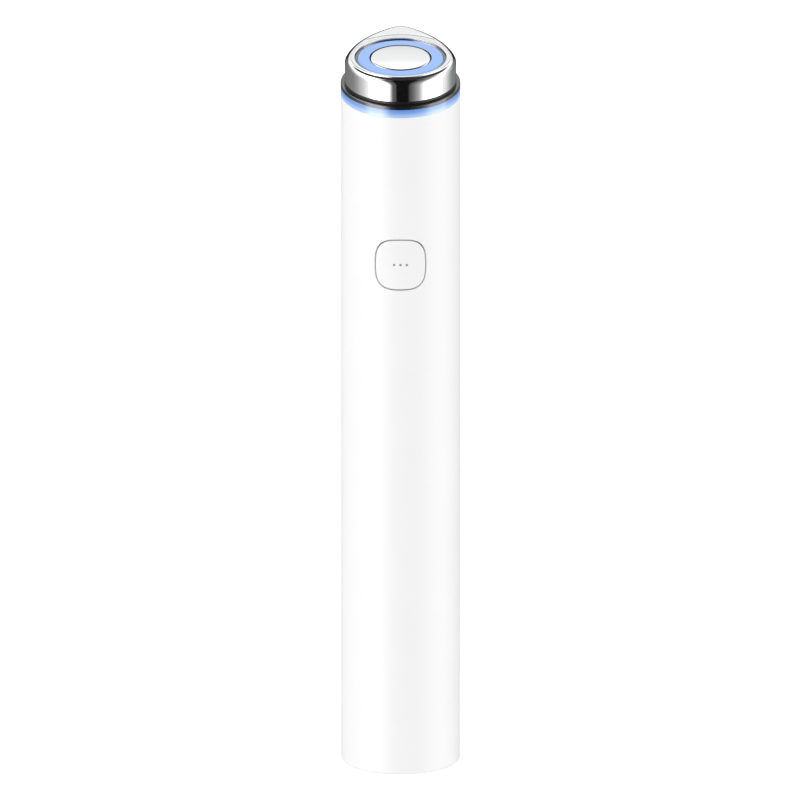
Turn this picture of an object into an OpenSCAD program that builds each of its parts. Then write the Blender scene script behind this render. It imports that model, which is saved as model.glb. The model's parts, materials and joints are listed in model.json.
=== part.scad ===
// Facial toning wand: a slim tube with one button and a slanted electrode head with a drop-shaped top.
// The origin is the centre of the base, +Z runs up the tube, and the button faces -Y.
// Lengths are in millimetres and angles in degrees.

/* [Tube] */
// Outer diameter of the tube
body_d = 24; // [23:0.5:28]
// Height of the slanted rim, on the tube's axis
rim_h = 138.85; // [134:0.05:160]
// Thickness of the tube's wall
body_wall = 1.6; // [1.3:0.1:2]
// Slant of the rim and of the head
head_tilt = 9.5; // [6:0.5:12]
// Rounding of the tube's lower edge
base_round = 0.5; // [0.2:0.1:0.6]

/* [Base cap] */
// Thickness of the cap's flange
cap_flange_t = 1.8; // [1.4:0.1:2.4]
// Height of the cap's skirt above the flange
cap_skirt_h = 3.2; // [2.6:0.1:3.6]
// Thickness of the cap's skirt
cap_skirt_t = 1.75; // [1.4:0.05:2]
// Rim of the tube that is left round the cap's flange
cap_rim_t = 1; // [0.7:0.05:1.3]
// Distance of the two screw posts from the axis
post_spacing = 6.3; // [5.6:0.1:6.6]

/* [Charging socket] */
// Width of the socket's opening
usb_mouth_w = 8.34; // [7:0.02:9]
// Height of the socket's opening
usb_mouth_h = 2.56; // [2.2:0.02:3]
// Sheet thickness of the socket's shell
usb_sheet = 0.3; // [0.2:0.05:0.4]
// Length of the socket's shell
usb_len = 7.4; // [6.6:0.1:8.5]
// How far the socket's mouth lies behind the base
usb_recess = 0.6; // [0.2:0.1:1]

/* [Battery] */
// Diameter of the cell
cell_d = 14; // [12:0.1:15]
// Length of the cell
cell_len = 50; // [44:0.5:54]

/* [Circuit boards] */
// Thickness of the main board and of the socket board
board_t = 1; // [0.8:0.1:1.2]
// Width of the main board
board_w = 15; // [14:0.1:16]
// Thickness of the two round boards in the head
head_board_t = 0.8; // [0.6:0.1:1]

/* [Button] */
// Height of the button's centre above the base
button_z = 106.6; // [103:0.2:110]
// Width of the window for the button
window_w = 10.4; // [9:0.1:11]
// Height of the window for the button
window_h = 10.6; // [9:0.1:11.5]
// Corner radius of the window for the button
window_corner = 3.5; // [2.5:0.1:4.2]
// Gap all round the button
button_gap = 0.25; // [0.15:0.05:0.4]
// How far the button presses in
button_travel = 0.4; // [0.2:0.05:0.5]
// Diameter of each light dot on the button
dot_d = 0.5; // [0.4:0.05:0.7]
// Distance between the light dots
dot_pitch = 1.27; // [1.1:0.01:1.5]

/* [Vibration motor] */
// Diameter of the motor's can
motor_d = 6; // [5:0.1:6.4]
// Length of the motor's can
motor_len = 11; // [9:0.5:12]
// Diameter of the motor's shaft
motor_shaft_d = 1; // [0.8:0.05:1.2]
// Radius of the half-round weight
weight_r = 2.8; // [2:0.1:3]

/* [Head rings] */
// Thickness of the light collar
collar_t = 1.65; // [1.5:0.05:2.2]
// Thickness of the trim ring
trim_t = 0.75; // [0.3:0.05:1]
// Width of the trim ring across its flat
trim_w = 2.55; // [2:0.05:3]
// Taper of the collar's and the trim ring's outer walls, which lets them leave their mould
ring_draft = 0.3; // [0.2:0.1:0.6]
// Height of the insulating ring that shows under the shell
insulator_h = 0.65; // [0.5:0.05:1.2]
// How far the insulating ring stands back from the tube
insulator_inset = 0.8; // [0.3:0.05:1]

/* [Electrode shell] */
// Height of the shell
shell_h = 4.8; // [4.6:0.05:6]
// Thickness of the shell
shell_wall = 0.9; // [0.6:0.05:1.1]
// How far the shell stands back from the tube
shell_inset = 0.85; // [0.75:0.05:1.3]
// Distance from the head's axis to the tip of the drop
tip_reach = 16.3; // [14.2:0.1:17]
// Radius of the tip of the drop
tip_r = 3.2; // [2.8:0.1:4]
// Radius of the drop's flanks, which swell a little
flank_r = 22; // [20:0.5:40]
// Rounding of the shell's upper edge
shell_round = 1.1; // [0.2:0.05:1.1]
// Width of the raised lip round the window
lip_w = 0.8; // [0.6:0.05:0.9]
// Height of the raised lip above the shell's top
lip_h = 0.15; // [0.1:0.05:0.4]

/* [Ring window and centre electrode] */
// Outer radius of the gasket round the lit ring
ring_r = 9.15; // [8.7:0.05:9.3]
// Width of the gasket between the lit ring and the shell
gasket_w = 0.6; // [0.4:0.05:0.8]
// Depth of the gasket below the lit ring
gasket_recess = 0.15; // [0.1:0.05:0.3]
// Radius of the opening inside the lit ring
ring_hole_r = 6.24; // [5.8:0.02:6.5]
// Depth of the lit ring below the shell's top
ring_recess = 0.05; // [0:0.05:0.4]
// Height of the centre electrode above the shell's top
disc_rise = 0.1; // [0:0.02:0.5]
// Rounding of the centre electrode's edge
disc_round = 0.35; // [0.1:0.05:0.6]

/* [Clearances] */
// Gap between a piece and the bore that it slides into
slip = 0.05; // [0.03:0.01:0.1]
// Gap between a piece and the wall that it only has to miss
clearance = 0.1; // [0.05:0.01:0.15]

/* [Hidden] */
$fn = 96;
over = 1;       // how far a cutting shape runs past what it cuts
weld = 0.4;     // how far one shape of a piece runs into the next
flank_bite = 0.003;     // how far a straight flank cuts into the circles that it joins

// Tube and base cap
body_r = body_d / 2;
bore_r = body_r - body_wall;
cap_r = body_r - cap_rim_t - slip;
skirt_r = bore_r - slip;
skirt_top = cap_flange_t + cap_skirt_h;
seal_r = 0.28;                          // half the seals' thickness
seal_floor_gap = 0.04;
seal_side_gap = 0.05;
seal_groove_r = bore_r - 2 * seal_r - seal_floor_gap;
cap_seal_z = cap_flange_t + cap_skirt_h / 2;
post_r = 1.4;
small_screw_r = 0.45;
small_screw_head_r = 1.1;
small_screw_head_h = 0.5;

// Charging socket
usb_w = usb_mouth_w + 2 * usb_sheet;
usb_h = usb_mouth_h + 2 * usb_sheet;
usb_slot_gap = 0.17;
usb_board_z = usb_recess + usb_len;
usb_screw_len = board_t + usb_board_z - skirt_top;
usb_block_h = 2;
usb_tongue_gap = 0.825;                 // from the tongue's side to the shell
usb_tongue_w = usb_mouth_w - 2 * usb_tongue_gap;
usb_tongue_t = 0.7;
usb_tongue_recess = 0.8;
chip_side = 3;
chip_h = 0.8;

// Carrier frame
frame_r = bore_r - clearance;
frame_wall = 1.2;
frame_in_r = frame_r - frame_wall;
foot_h = 3;
foot_top = usb_board_z + board_t + foot_h;
floor_rise = 5.5;
floor_z = foot_top + floor_rise;
floor_t = 1;
foam_t = 1.2;
foam_top_t = 0.7;
tab_t = 0.3;
cell_r = cell_d / 2;
cell_groove_drop = 3;
cell_groove_depth = 0.3;
cell_groove_h = 0.8;
cell_z = floor_z + floor_t + foam_t + tab_t;
cell_top = cell_z + cell_len;
stop_z = cell_top + tab_t + foam_top_t;
stop_t = 1.2;
deck_z = stop_z + stop_t;
deck_t = 1.2;
deck_front = -2.2;
spigot_h = 8;
head_base_z = rim_h - spigot_h;
head_seal_rise = 1.5;
head_seal_z = head_base_z + head_seal_rise;
frame_end_gap = 0.5;
frame_top = head_base_z - frame_end_gap;
top_ring_h = 4.5;
rib_t = 1.6;
rib_count = 4;
plate_front = -6.5;

// Main board and what is on it
board_boss_h = 1.8;
board_back = deck_front - board_boss_h;
board_front = board_back - board_t;
board_rise = 1.8;
board_z = deck_z + board_rise;
board_top_gap = 2.5;
board_top = frame_top - board_top_gap;
board_screw_edge = 1.7;
board_screw_x = board_w / 2 - board_screw_edge;
board_screw_inset = 4;
board_boss_r = 1.3;
board_hole_r = 0.6;
pilot_r = small_screw_r + slip;
coil_side = 5;
coil_h = 2;
coil_foot_h = 0.8;
coil_edge = 0.2;
coil_rise = 8;
coil_z = board_z + coil_rise;
controller_side = 5;
controller_h = 0.9;
controller_rise = 17;
controller_z = board_z + controller_rise;
controller_dot_r = 0.3;
controller_dot_inset = 0.8;
controller_dot_depth = 0.1;
passive_size = [1.6, 0.8, 0.6];
passive_x = 5;
passive_pitch = 2;
passive_count = 4;
small_chip_side = 3;
small_chip_h = 0.9;
small_chip_x = 2.2;

// Switch and button
switch_drop = 3.7;
switch_z = button_z - switch_drop;
switch_side = 4.6;
switch_h = 1.6;
switch_floor_t = 0.3;
switch_front = board_front - switch_h;
plunger_r = 0.9;
plunger_len = 1.2;
plunger_out = 0.5;
plunger_front = switch_front - plunger_out;
plunger_bore_r = plunger_r + slip;
flange_lap = 0.8;
flange_t = 0.8;
flange_r = bore_r - clearance;
flange_in_r = flange_r - flange_t;
button_post_r = 1.2;
guide_w = 5;
guide_h = 2.4;
guide_t = 0.8;
guide_depth = 0.35;
guide_front = -(flange_in_r + guide_depth);
guide_leg_r = 0.45;
lamp_size = [0.8, 1, 0.5];
lamp_gap = 0.4;
guide_leg_end = board_front - lamp_size[2] - button_travel - lamp_gap;
small_chip_z = (button_z + board_top) / 2;

// Vibration motor
motor_y = 4.2;
motor_top_gap = 9.5;
motor_top = frame_top - motor_top_gap;
motor_z = motor_top - motor_len;
boot_t = 0.6;
boot_inset = 1;
saddle_t = 0.95;
saddle_inset = 2;
saddle_web_w = 3;
shaft_depth = 4;
weight_gap = 0.6;
weight_h = 4;
motor_lead_drop = 2;
motor_lead_z = motor_z - motor_lead_drop;
motor_lead_x = 1;
motor_lead_r = 0.35;

// Head, along its own slanted axis: 0 is the tube's rim
trim_top = collar_t + trim_t;
shell_foot = trim_top + insulator_h;
shell_top = shell_foot + shell_h;
shell_under = shell_top - shell_wall;
shell_r = body_r - shell_inset;
tip_y = tip_reach - tip_r;
shell_in_r = shell_r - shell_wall;
tip_in_r = tip_r - shell_wall;
flank_y = ((flank_r - shell_r) ^ 2 - (flank_r - tip_r) ^ 2 + tip_y ^ 2) / (2 * tip_y);
flank_x = sqrt((flank_r - shell_r) ^ 2 - flank_y ^ 2);
flank_discs = 6;
lip_round = 0.6;                        // share of the lip's height
lit_r = ring_r - gasket_w;
ring_top = shell_top - ring_recess;
insulator_r = body_r - insulator_inset;
collar_bore_r = 6;
core_spigot_r = body_r - trim_w - slip;
core_plate_t = 0.9;
core_plate_top = shell_foot + core_plate_t;
window_flange_t = 0.6;
window_seat = shell_under - window_flange_t;
upstand_gap = 0.15;
window_lap = 0.47;
upstand_r = shell_in_r - upstand_gap;
upstand_in_r = ring_r - window_lap;
window_flange_r = upstand_r - slip;
head_base_wall = 2.2;
base_in_r = bore_r - head_base_wall;
base_floor_t = 1.6;
head_board_top = core_plate_top + head_board_t;
head_board_gap = 0.2;
head_board_r = upstand_in_r - head_board_gap;
head_screw_ring = 4.6;
head_screw_r = 0.55;
head_screw_head_r = 1;
head_screw_head_h = 0.5;
head_screw_end = -1;
head_screw_len = head_board_top - head_screw_end;
boss_r = 1.3;
boss_end = head_screw_end - 1;
boss_floor_t = 0.5;
screw_angles = [90, 210, 330];
collar_board_gap = 0.4;
collar_board_r = collar_bore_r - collar_board_gap;
collar_lamp_size = [0.7, 1.2, 0.6];
collar_lamp_angles = [10, 50, 130, 170, 250, 290];
ring_lamp_size = [1, 1, 0.5];
ring_lamp_count = 8;
reflector_r = upstand_in_r - slip;
reflector_in_r = ring_hole_r + clearance;
reflector_wall = 0.35;
reflector_floor_t = 0.2;
reflector_hole = 1.2;
ring_lamp_r = (reflector_r + reflector_in_r) / 2;
disc_r = ring_hole_r - slip;
disc_top = shell_top + disc_rise;
neck_r = 3;
centre_screw_r = 0.75;
centre_screw_head_r = 1.5;
centre_screw_head_h = 0.8;
ribbon_w = 2.6;
ribbon_t = 0.25;
ribbon_len_on_board = 6;
slot_w = 3;
slot_front = -4.5;
slot_back = -2.9;
contact_w = 1.2;
contact_t = 0.2;
contact_slot_h = 0.5;
contact_pin_r = 0.7;
contact_tip_r = 0.42;
contact_pin_y = (upstand_r + tip_y + tip_in_r) / 2;

// Leads
lead_r = 0.45;
lead_gap = 0.45;
front_lead_y = -(cell_r + lead_r + lead_gap);
minus_lead_x = -2.5;
charge_lead_xs = [1, 2.4];
plus_lead_gap = 0.9;
plus_lead_y = deck_front - plus_lead_gap;
lead_end_rise = 2;
lead_end_z = board_z + lead_end_rise;
tab_w = 4;

// ---- Shapes that several pieces share ----

// Stands its children on the tube's rim, along the head's slanted axis
module on_head() {
    translate([0, 0, rim_h])
        rotate([head_tilt, 0, 0])
            children();
}

// Everything above a height on the head's axis
module above_on_head(height) {
    reach = 3 * body_d;
    on_head()
        translate([-reach, -reach, height])
            cube([2 * reach, 2 * reach, reach]);
}

module tube(r_out, r_in, h) {
    difference() {
        cylinder(r = r_out, h = h);
        translate([0, 0, -over])
            cylinder(r = r_in, h = h + 2 * over);
    }
}

// A box that is centred in X and Y and stands on Z = 0
module block(size) {
    translate([-size[0] / 2, -size[1] / 2, 0])
        cube(size);
}

// A disc that carries on the tube's wall, with the rings' draft, between two heights on the head's axis
module slanted_slice(low, high) {
    rim_low = rim_h - body_r * tan(head_tilt);
    taper = tan(ring_draft);
    difference() {
        translate([0, 0, rim_low - over])
            cylinder(r1 = body_r + over * taper, r2 = body_r * (1 - taper), h = body_r + over);
        above_on_head(high);
        difference() {
            translate([0, 0, rim_h - body_d])
                block([2 * body_d, 2 * body_d, 2 * body_d]);
            above_on_head(low);
        }
    }
}

module stadium(w, h) {
    square([w - h, h], center = true);
    for (side = [-1, 1])
        translate([side * (w - h) / 2, 0])
            circle(r = h / 2);
}

module rounded_square(w, h, corner) {
    square([w - 2 * corner, h], center = true);
    square([w, h - 2 * corner], center = true);
    for (x = [-1, 1])
        for (y = [-1, 1])
            translate([x * (w / 2 - corner), y * (h / 2 - corner)])
                circle(r = corner);
}

// A prism with the button's outline, widened all round, through the tube's front wall
module button_prism(widen) {
    translate([0, -body_r / 2, button_z])
        rotate([90, 0, 0])
            linear_extrude(height = body_r)
                rounded_square(window_w + 2 * widen, window_h + 2 * widen, window_corner + widen);
}

// Half of the section of a disc whose upper edge is rounded
module rounded_disc_section(r, h, edge) {
    square([r - edge, h]);
    square([r, h - edge]);
    translate([r - edge, h - edge])
        circle(r = edge, $fn = 32);
}

// The drop outline: a circle, a smaller one at the tip, and the two straight flanks between them
module drop_outline(r, tip) {
    lean = asin((r - tip) / tip_y);
    r_in = r - flank_bite;
    tip_in = tip - flank_bite;
    circle(r = r);
    translate([0, tip_y])
        circle(r = tip);
    polygon([
        [r_in * cos(lean), r_in * sin(lean)],
        [tip_in * cos(lean), tip_y + tip_in * sin(lean)],
        [-tip_in * cos(lean), tip_y + tip_in * sin(lean)],
        [-r_in * cos(lean), r_in * sin(lean)]
    ]);
}

// A screw that points down, with its head's underside on Z = 0
module screw(shank_r, shank_len, head_r, head_h) {
    slot = head_r / 4;
    difference() {
        union() {
            cylinder(r = head_r, h = head_h);
            translate([0, 0, -shank_len])
                cylinder(r = shank_r, h = shank_len + head_h / 2);
        }
        for (turn = [0, 90])
            rotate([0, 0, turn])
                translate([0, 0, head_h / 2])
                    block([1.3 * head_r, slot, head_h]);
    }
}

module o_ring(z) {
    translate([0, 0, z])
        rotate_extrude()
            translate([seal_groove_r + seal_r, 0])
                circle(r = seal_r, $fn = 32);
}

module seal_groove(z) {
    groove_h = 2 * (seal_r + seal_side_gap);
    translate([0, 0, z - groove_h / 2])
        tube(bore_r + over, seal_groove_r, groove_h);
}

// A lead with square corners: straight runs, and a slightly fuller bead at each bend
module lead(points, r) {
    for (i = [1:len(points) - 1])
        run(points[i - 1], points[i], r);
    for (i = [1:len(points) - 2])
        translate(points[i])
            sphere(r = 1.15 * r, $fn = 32);
}

// One straight run along Y or Z
module run(start, end, r) {
    step = end - start;
    turn = step[2] > 0 ? [0, 0, 0] : step[2] < 0 ? [180, 0, 0] : step[1] > 0 ? [-90, 0, 0] : [90, 0, 0];
    translate(start)
        rotate(turn)
            cylinder(r = r, h = norm(step), $fn = 32);
}

// ---- Tube and base ----

module body_shell() {
    color("white")
        difference() {
            translate([0, 0, rim_h + body_r])
                mirror([0, 0, 1])
                    rotate_extrude()
                        rounded_disc_section(body_r, rim_h + body_r, base_round);
            above_on_head(0);
            translate([0, 0, -over])
                cylinder(r = bore_r, h = rim_h + body_r + 2 * over);
            translate([0, 0, -over])
                cylinder(r = cap_r + slip, h = cap_flange_t + over);
            button_prism(0);
        }
}

module end_cap() {
    color("whitesmoke")
        difference() {
            union() {
                cylinder(r = cap_r, h = cap_flange_t);
                translate([0, 0, cap_flange_t - weld])
                    tube(skirt_r, skirt_r - cap_skirt_t, cap_skirt_h + weld);
                for (side = [-1, 1])
                    translate([0, side * post_spacing, cap_flange_t - weld])
                        cylinder(r = post_r, h = usb_board_z - cap_flange_t + weld);
            }
            seal_groove(cap_seal_z);
            translate([0, 0, -over])
                linear_extrude(height = cap_flange_t + 2 * over)
                    stadium(usb_w + 2 * usb_slot_gap, usb_h + 2 * usb_slot_gap);
            for (side = [-1, 1])
                translate([0, side * post_spacing, cap_flange_t])
                    cylinder(r = pilot_r, h = usb_board_z);
        }
}

module end_cap_seal() {
    color("dimgray")
        o_ring(cap_seal_z);
}

module usb_shell() {
    color("silver")
        translate([0, 0, usb_recess])
            difference() {
                linear_extrude(height = usb_len)
                    stadium(usb_w, usb_h);
                translate([0, 0, -over])
                    linear_extrude(height = usb_len + 2 * over)
                        stadium(usb_mouth_w, usb_mouth_h);
            }
}

module usb_tongue() {
    tongue_z = usb_recess + usb_tongue_recess;
    block_z = usb_board_z - usb_block_h;
    color("black") {
        translate([0, 0, block_z])
            linear_extrude(height = usb_block_h)
                stadium(usb_mouth_w, usb_mouth_h);
        translate([0, 0, tongue_z])
            block([usb_tongue_w, usb_tongue_t, block_z - tongue_z + weld]);
    }
}

module usb_board() {
    color("darkgreen")
        translate([0, 0, usb_board_z])
            difference() {
                cylinder(r = frame_in_r - clearance, h = board_t);
                for (side = [-1, 1])
                    translate([0, side * post_spacing, -over])
                        cylinder(r = board_hole_r, h = board_t + 2 * over);
            }
}

module charge_chip() {
    color("black")
        translate([0, 0, usb_board_z + board_t])
            block([chip_side, chip_side, chip_h]);
}

module usb_screws() {
    color("silver")
        for (side = [-1, 1])
            translate([0, side * post_spacing, usb_board_z + board_t])
                screw(small_screw_r, usb_screw_len, small_screw_head_r, small_screw_head_h);
}

// ---- Carrier frame ----

module inner_frame() {
    tall = frame_top - skirt_top;
    open_h = frame_top - top_ring_h - foot_top;
    rib_step = cell_len / rib_count;
    color("gainsboro")
        difference() {
            union() {
                difference() {
                    union() {
                        translate([0, 0, skirt_top])
                            tube(frame_r, frame_in_r, tall);
                        for (i = [0:rib_count - 1])
                            translate([0, 0, cell_z + (i + 0.5) * rib_step - rib_t / 2])
                                cylinder(r = frame_in_r + weld, h = rib_t);
                    }
                    translate([0, deck_front - body_r, foot_top])
                        block([body_d, 2 * body_r, open_h]);
                    translate([0, 0, floor_z])
                        cylinder(r = cell_r + clearance, h = deck_z - floor_z);
                }
                frame_plate(floor_z, floor_t);
                frame_plate(stop_z, stop_t);
                board_deck();
                motor_saddle();
            }
            at_board_screws(board_back - over)
                cylinder(r = pilot_r, h = board_boss_h + deck_t / 2 + over);
            charge_lead_notch();
            translate([0, deck_front, motor_lead_z])
                rotate([-90, 0, 0])
                    translate([0, 0, -over])
                        linear_extrude(height = deck_t + 2 * over)
                            stadium(2 * motor_lead_x + 4 * motor_lead_r, 4 * motor_lead_r);
            translate([-minus_lead_x, plus_lead_y, stop_z - over])
                cylinder(r = lead_r + clearance, h = stop_t + 2 * over);
        }
}

// A plate across the frame, cut off at the front for the leads
module frame_plate(z, t) {
    intersection() {
        translate([0, 0, z])
            cylinder(r = frame_in_r + weld, h = t);
        translate([-body_r, plate_front, z - over])
            cube([body_d, body_d, t + 2 * over]);
    }
}

module board_deck() {
    intersection() {
        translate([0, 0, deck_z - weld])
            cylinder(r = frame_in_r + weld, h = board_top - deck_z + weld);
        translate([-body_r, deck_front, deck_z - over])
            cube([body_d, deck_t, board_top]);
    }
    at_board_screws(board_back)
        cylinder(r = board_boss_r, h = board_boss_h + weld);
}

// Stands its children at each of the board's four screws, at a depth, facing +Y
module at_board_screws(depth) {
    for (side = [-1, 1])
        for (z = [board_z + board_screw_inset, board_top - board_screw_inset])
            translate([side * board_screw_x, depth, z])
                rotate([-90, 0, 0])
                    children();
}

// The notch in the frame's foot that the charging leads come up through
module charge_lead_notch() {
    low_x = charge_lead_xs[0] - lead_r - clearance;
    high_x = charge_lead_xs[1] + lead_r + clearance;
    translate([low_x, -body_r, usb_board_z + board_t])
        cube([high_x - low_x, body_r + front_lead_y + lead_r + clearance, foot_h + over]);
}

module motor_saddle() {
    saddle_r = motor_d / 2 + boot_t + slip;
    saddle_h = motor_len - 2 * saddle_inset;
    web_len = motor_y - deck_front - deck_t / 2;
    translate([0, motor_y, motor_z + saddle_inset])
        difference() {
            union() {
                cylinder(r = saddle_r + saddle_t, h = saddle_h);
                translate([-saddle_web_w / 2, -web_len, 0])
                    cube([saddle_web_w, web_len, saddle_h]);
            }
            translate([0, 0, -over])
                cylinder(r = saddle_r, h = saddle_h + 2 * over);
        }
}

// ---- Battery and leads ----

module battery_cell() {
    color("steelblue")
        translate([0, 0, cell_z])
            difference() {
                cylinder(r = cell_r, h = cell_len);
                translate([0, 0, cell_len - cell_groove_drop])
                    tube(cell_r + over, cell_r - cell_groove_depth, cell_groove_h);
            }
}

module battery_tabs() {
    color("silver") {
        translate([minus_lead_x - tab_w / 2, front_lead_y - lead_r, cell_z - tab_t])
            cube([tab_w, -front_lead_y + lead_r, tab_t]);
        translate([-minus_lead_x - tab_w / 2, plus_lead_y - lead_r, cell_top])
            cube([tab_w, tab_w, tab_t]);
    }
}

module battery_foam() {
    color("dimgray") {
        translate([0, 0, floor_z + floor_t])
            tube(cell_r, cell_r / 3, foam_t);
        translate([0, 0, cell_top + tab_t])
            intersection() {
                tube(cell_r, cell_r / 3, foam_top_t);
                translate([-cell_r, plus_lead_y + 2 * lead_r, -over])
                    cube([2 * cell_r, 2 * cell_r, foam_top_t + 2 * over]);
            }
    }
}

module battery_leads() {
    color("crimson")
        lead([
            [-minus_lead_x, plus_lead_y, cell_top + tab_t],
            [-minus_lead_x, plus_lead_y, lead_end_z],
            [-minus_lead_x, board_back, lead_end_z]
        ], lead_r);
    color("black")
        lead([
            [minus_lead_x, front_lead_y, cell_z],
            [minus_lead_x, front_lead_y, lead_end_z],
            [minus_lead_x, board_front, lead_end_z]
        ], lead_r);
}

module charge_leads() {
    color("orange")
        for (x = charge_lead_xs)
            lead([
                [x, front_lead_y, usb_board_z + board_t],
                [x, front_lead_y, lead_end_z],
                [x, board_front, lead_end_z]
            ], lead_r);
}

// ---- Main board ----

module main_board() {
    color("darkgreen")
        difference() {
            translate([-board_w / 2, board_front, board_z])
                cube([board_w, board_t, board_top - board_z]);
            at_board_screws(board_front - over)
                cylinder(r = board_hole_r, h = board_t + 2 * over);
        }
}

module board_screws() {
    color("silver")
        at_board_screws(board_front)
            mirror([0, 0, 1])
                screw(small_screw_r, board_t + board_boss_h, small_screw_head_r, small_screw_head_h);
}

// Stands its children on the front of the main board, facing -Y
module on_board(x, z) {
    translate([x, board_front, z])
        rotate([90, 0, 0])
            children();
}

module controller_chip() {
    dot_at = controller_side / 2 - controller_dot_inset;
    color("black")
        on_board(0, controller_z)
            difference() {
                block([controller_side, controller_side, controller_h]);
                translate([-dot_at, dot_at, controller_h - controller_dot_depth])
                    cylinder(r = controller_dot_r, h = over);
            }
}

module boost_coil() {
    color("darkslategray")
        on_board(0, coil_z)
            union() {
                block([coil_side, coil_side, coil_foot_h]);
                cylinder(r = coil_side / 2 - coil_edge, h = coil_h);
            }
}

module board_components() {
    color("tan")
        for (side = [-1, 1]) {
            for (i = [0:passive_count - 1])
                on_board(side * passive_x, controller_z + (i - (passive_count - 1) / 2) * passive_pitch)
                    block(passive_size);
            on_board(side * small_chip_x, small_chip_z)
                block([small_chip_side, small_chip_side, small_chip_h]);
        }
}

// ---- Switch and button ----

module tact_switch() {
    color("silver")
        difference() {
            on_board(0, switch_z)
                block([switch_side, switch_side, switch_h]);
            translate([0, switch_front - over, switch_z])
                rotate([-90, 0, 0])
                    cylinder(r = plunger_bore_r, h = switch_h - switch_floor_t + over);
        }
}

module switch_plunger() {
    color("black")
        translate([0, plunger_front, switch_z])
            rotate([-90, 0, 0])
                cylinder(r = plunger_r, h = plunger_len);
}

module indicator_leds() {
    color("ivory")
        for (i = [-1:1])
            on_board(i * dot_pitch, button_z)
                block(lamp_size);
}

module power_button() {
    color("white")
        difference() {
            union() {
                intersection() {
                    button_prism(-button_gap);
                    translate([0, 0, button_z - window_h])
                        tube(body_r, flange_r - weld, 2 * window_h);
                }
                intersection() {
                    button_prism(flange_lap);
                    translate([0, 0, button_z - window_h])
                        tube(flange_r, flange_in_r, 2 * window_h);
                }
                translate([0, plunger_front, switch_z])
                    rotate([90, 0, 0])
                        cylinder(r = button_post_r, h = flange_in_r + plunger_front + weld);
            }
            translate([0, guide_front - slip, button_z])
                translate([-guide_w / 2 - slip, 0, -guide_h / 2 - slip])
                    cube([guide_w + 2 * slip, guide_t + over, guide_h + 2 * slip]);
            for (i = [-1:1])
                translate([i * dot_pitch, guide_front, button_z])
                    rotate([90, 0, 0])
                        cylinder(r = dot_d / 2 + slip / 2, h = body_r);
        }
}

module button_light_guide() {
    color("lightgray")
        intersection() {
            union() {
                translate([-guide_w / 2, guide_front, button_z - guide_h / 2])
                    cube([guide_w, guide_t, guide_h]);
                for (i = [-1:1])
                    translate([i * dot_pitch, guide_front + weld, button_z])
                        rotate([90, 0, 0])
                            cylinder(r = dot_d / 2, h = body_r);
                for (i = [-1:1])
                    translate([i * dot_pitch, guide_leg_end, button_z])
                        rotate([90, 0, 0])
                            cylinder(r = guide_leg_r, h = guide_leg_end - guide_front - weld);
            }
            translate([0, 0, button_z - window_h])
                cylinder(r = body_r, h = 2 * window_h);
        }
}

// ---- Vibration motor ----

module motor_can() {
    color("silver")
        translate([0, motor_y, motor_z])
            difference() {
                cylinder(r = motor_d / 2, h = motor_len);
                translate([0, 0, motor_len - shaft_depth])
                    cylinder(r = motor_shaft_d / 2 + slip, h = shaft_depth + over);
            }
}

module motor_boot() {
    color("dimgray")
        translate([0, motor_y, motor_z + boot_inset])
            tube(motor_d / 2 + boot_t, motor_d / 2, motor_len - 2 * boot_inset);
}

module motor_shaft() {
    shaft_z = motor_top - shaft_depth + slip;
    color("gray")
        translate([0, motor_y, shaft_z])
            cylinder(r = motor_shaft_d / 2, h = motor_top + weight_gap + weight_h - shaft_z);
}

module motor_weight() {
    color("slategray")
        translate([0, motor_y, motor_top + weight_gap])
            difference() {
                union() {
                    difference() {
                        cylinder(r = weight_r, h = weight_h);
                        translate([-weight_r - over, -weight_r - over, -over])
                            cube([2 * weight_r + 2 * over, weight_r + over, weight_h + 2 * over]);
                    }
                    cylinder(r = motor_shaft_d, h = weight_h);
                }
                translate([0, 0, -over])
                    cylinder(r = motor_shaft_d / 2, h = weight_h + 2 * over);
            }
}

module motor_leads() {
    color("royalblue")
        for (x = [-1, 1])
            lead([
                [x * motor_lead_x, motor_y, motor_z],
                [x * motor_lead_x, motor_y, motor_lead_z],
                [x * motor_lead_x, board_back, motor_lead_z]
            ], motor_lead_r);
}

// ---- Head ----

module at_head_screws() {
    for (turn = screw_angles)
        rotate([0, 0, turn])
            translate([head_screw_ring, 0, 0])
                children();
}

// The slot that the ribbon cable runs up through, from one height to another
module ribbon_slot(low, high) {
    translate([-slot_w / 2, slot_front, low])
        cube([slot_w, slot_back - slot_front, high - low]);
}

module head_base() {
    color("whitesmoke")
        difference() {
            union() {
                difference() {
                    translate([0, 0, head_base_z])
                        tube(skirt_r, base_in_r, spigot_h + body_r);
                    above_on_head(0);
                }
                on_head()
                    translate([0, 0, -base_floor_t])
                        cylinder(r = base_in_r + weld, h = base_floor_t);
                on_head()
                    at_head_screws()
                        translate([0, 0, boss_end])
                            cylinder(r = boss_r, h = collar_t - boss_end);
            }
            seal_groove(head_seal_z);
            on_head()
                at_head_screws()
                    translate([0, 0, boss_end + boss_floor_t])
                        cylinder(r = head_screw_r + slip, h = collar_t - boss_end);
            on_head()
                ribbon_slot(-base_floor_t - over, over);
        }
}

module head_seal() {
    color("dimgray")
        o_ring(head_seal_z);
}

module light_collar() {
    color("cornflowerblue")
        difference() {
            slanted_slice(0, collar_t);
            on_head()
                translate([0, 0, -over])
                    cylinder(r = collar_bore_r, h = collar_t + 2 * over);
        }
}

module collar_board() {
    color("darkgreen")
        on_head()
            difference() {
                cylinder(r = collar_board_r, h = head_board_t);
                at_head_screws()
                    translate([0, 0, -over])
                        cylinder(r = boss_r + clearance, h = head_board_t + 2 * over);
                ribbon_slot(-over, head_board_t + over);
            }
}

module collar_leds() {
    color("lightblue")
        on_head()
            for (turn = collar_lamp_angles)
                rotate([0, 0, turn])
                    translate([collar_board_r - collar_lamp_size[0] / 2, 0, head_board_t])
                        block(collar_lamp_size);
}

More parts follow.
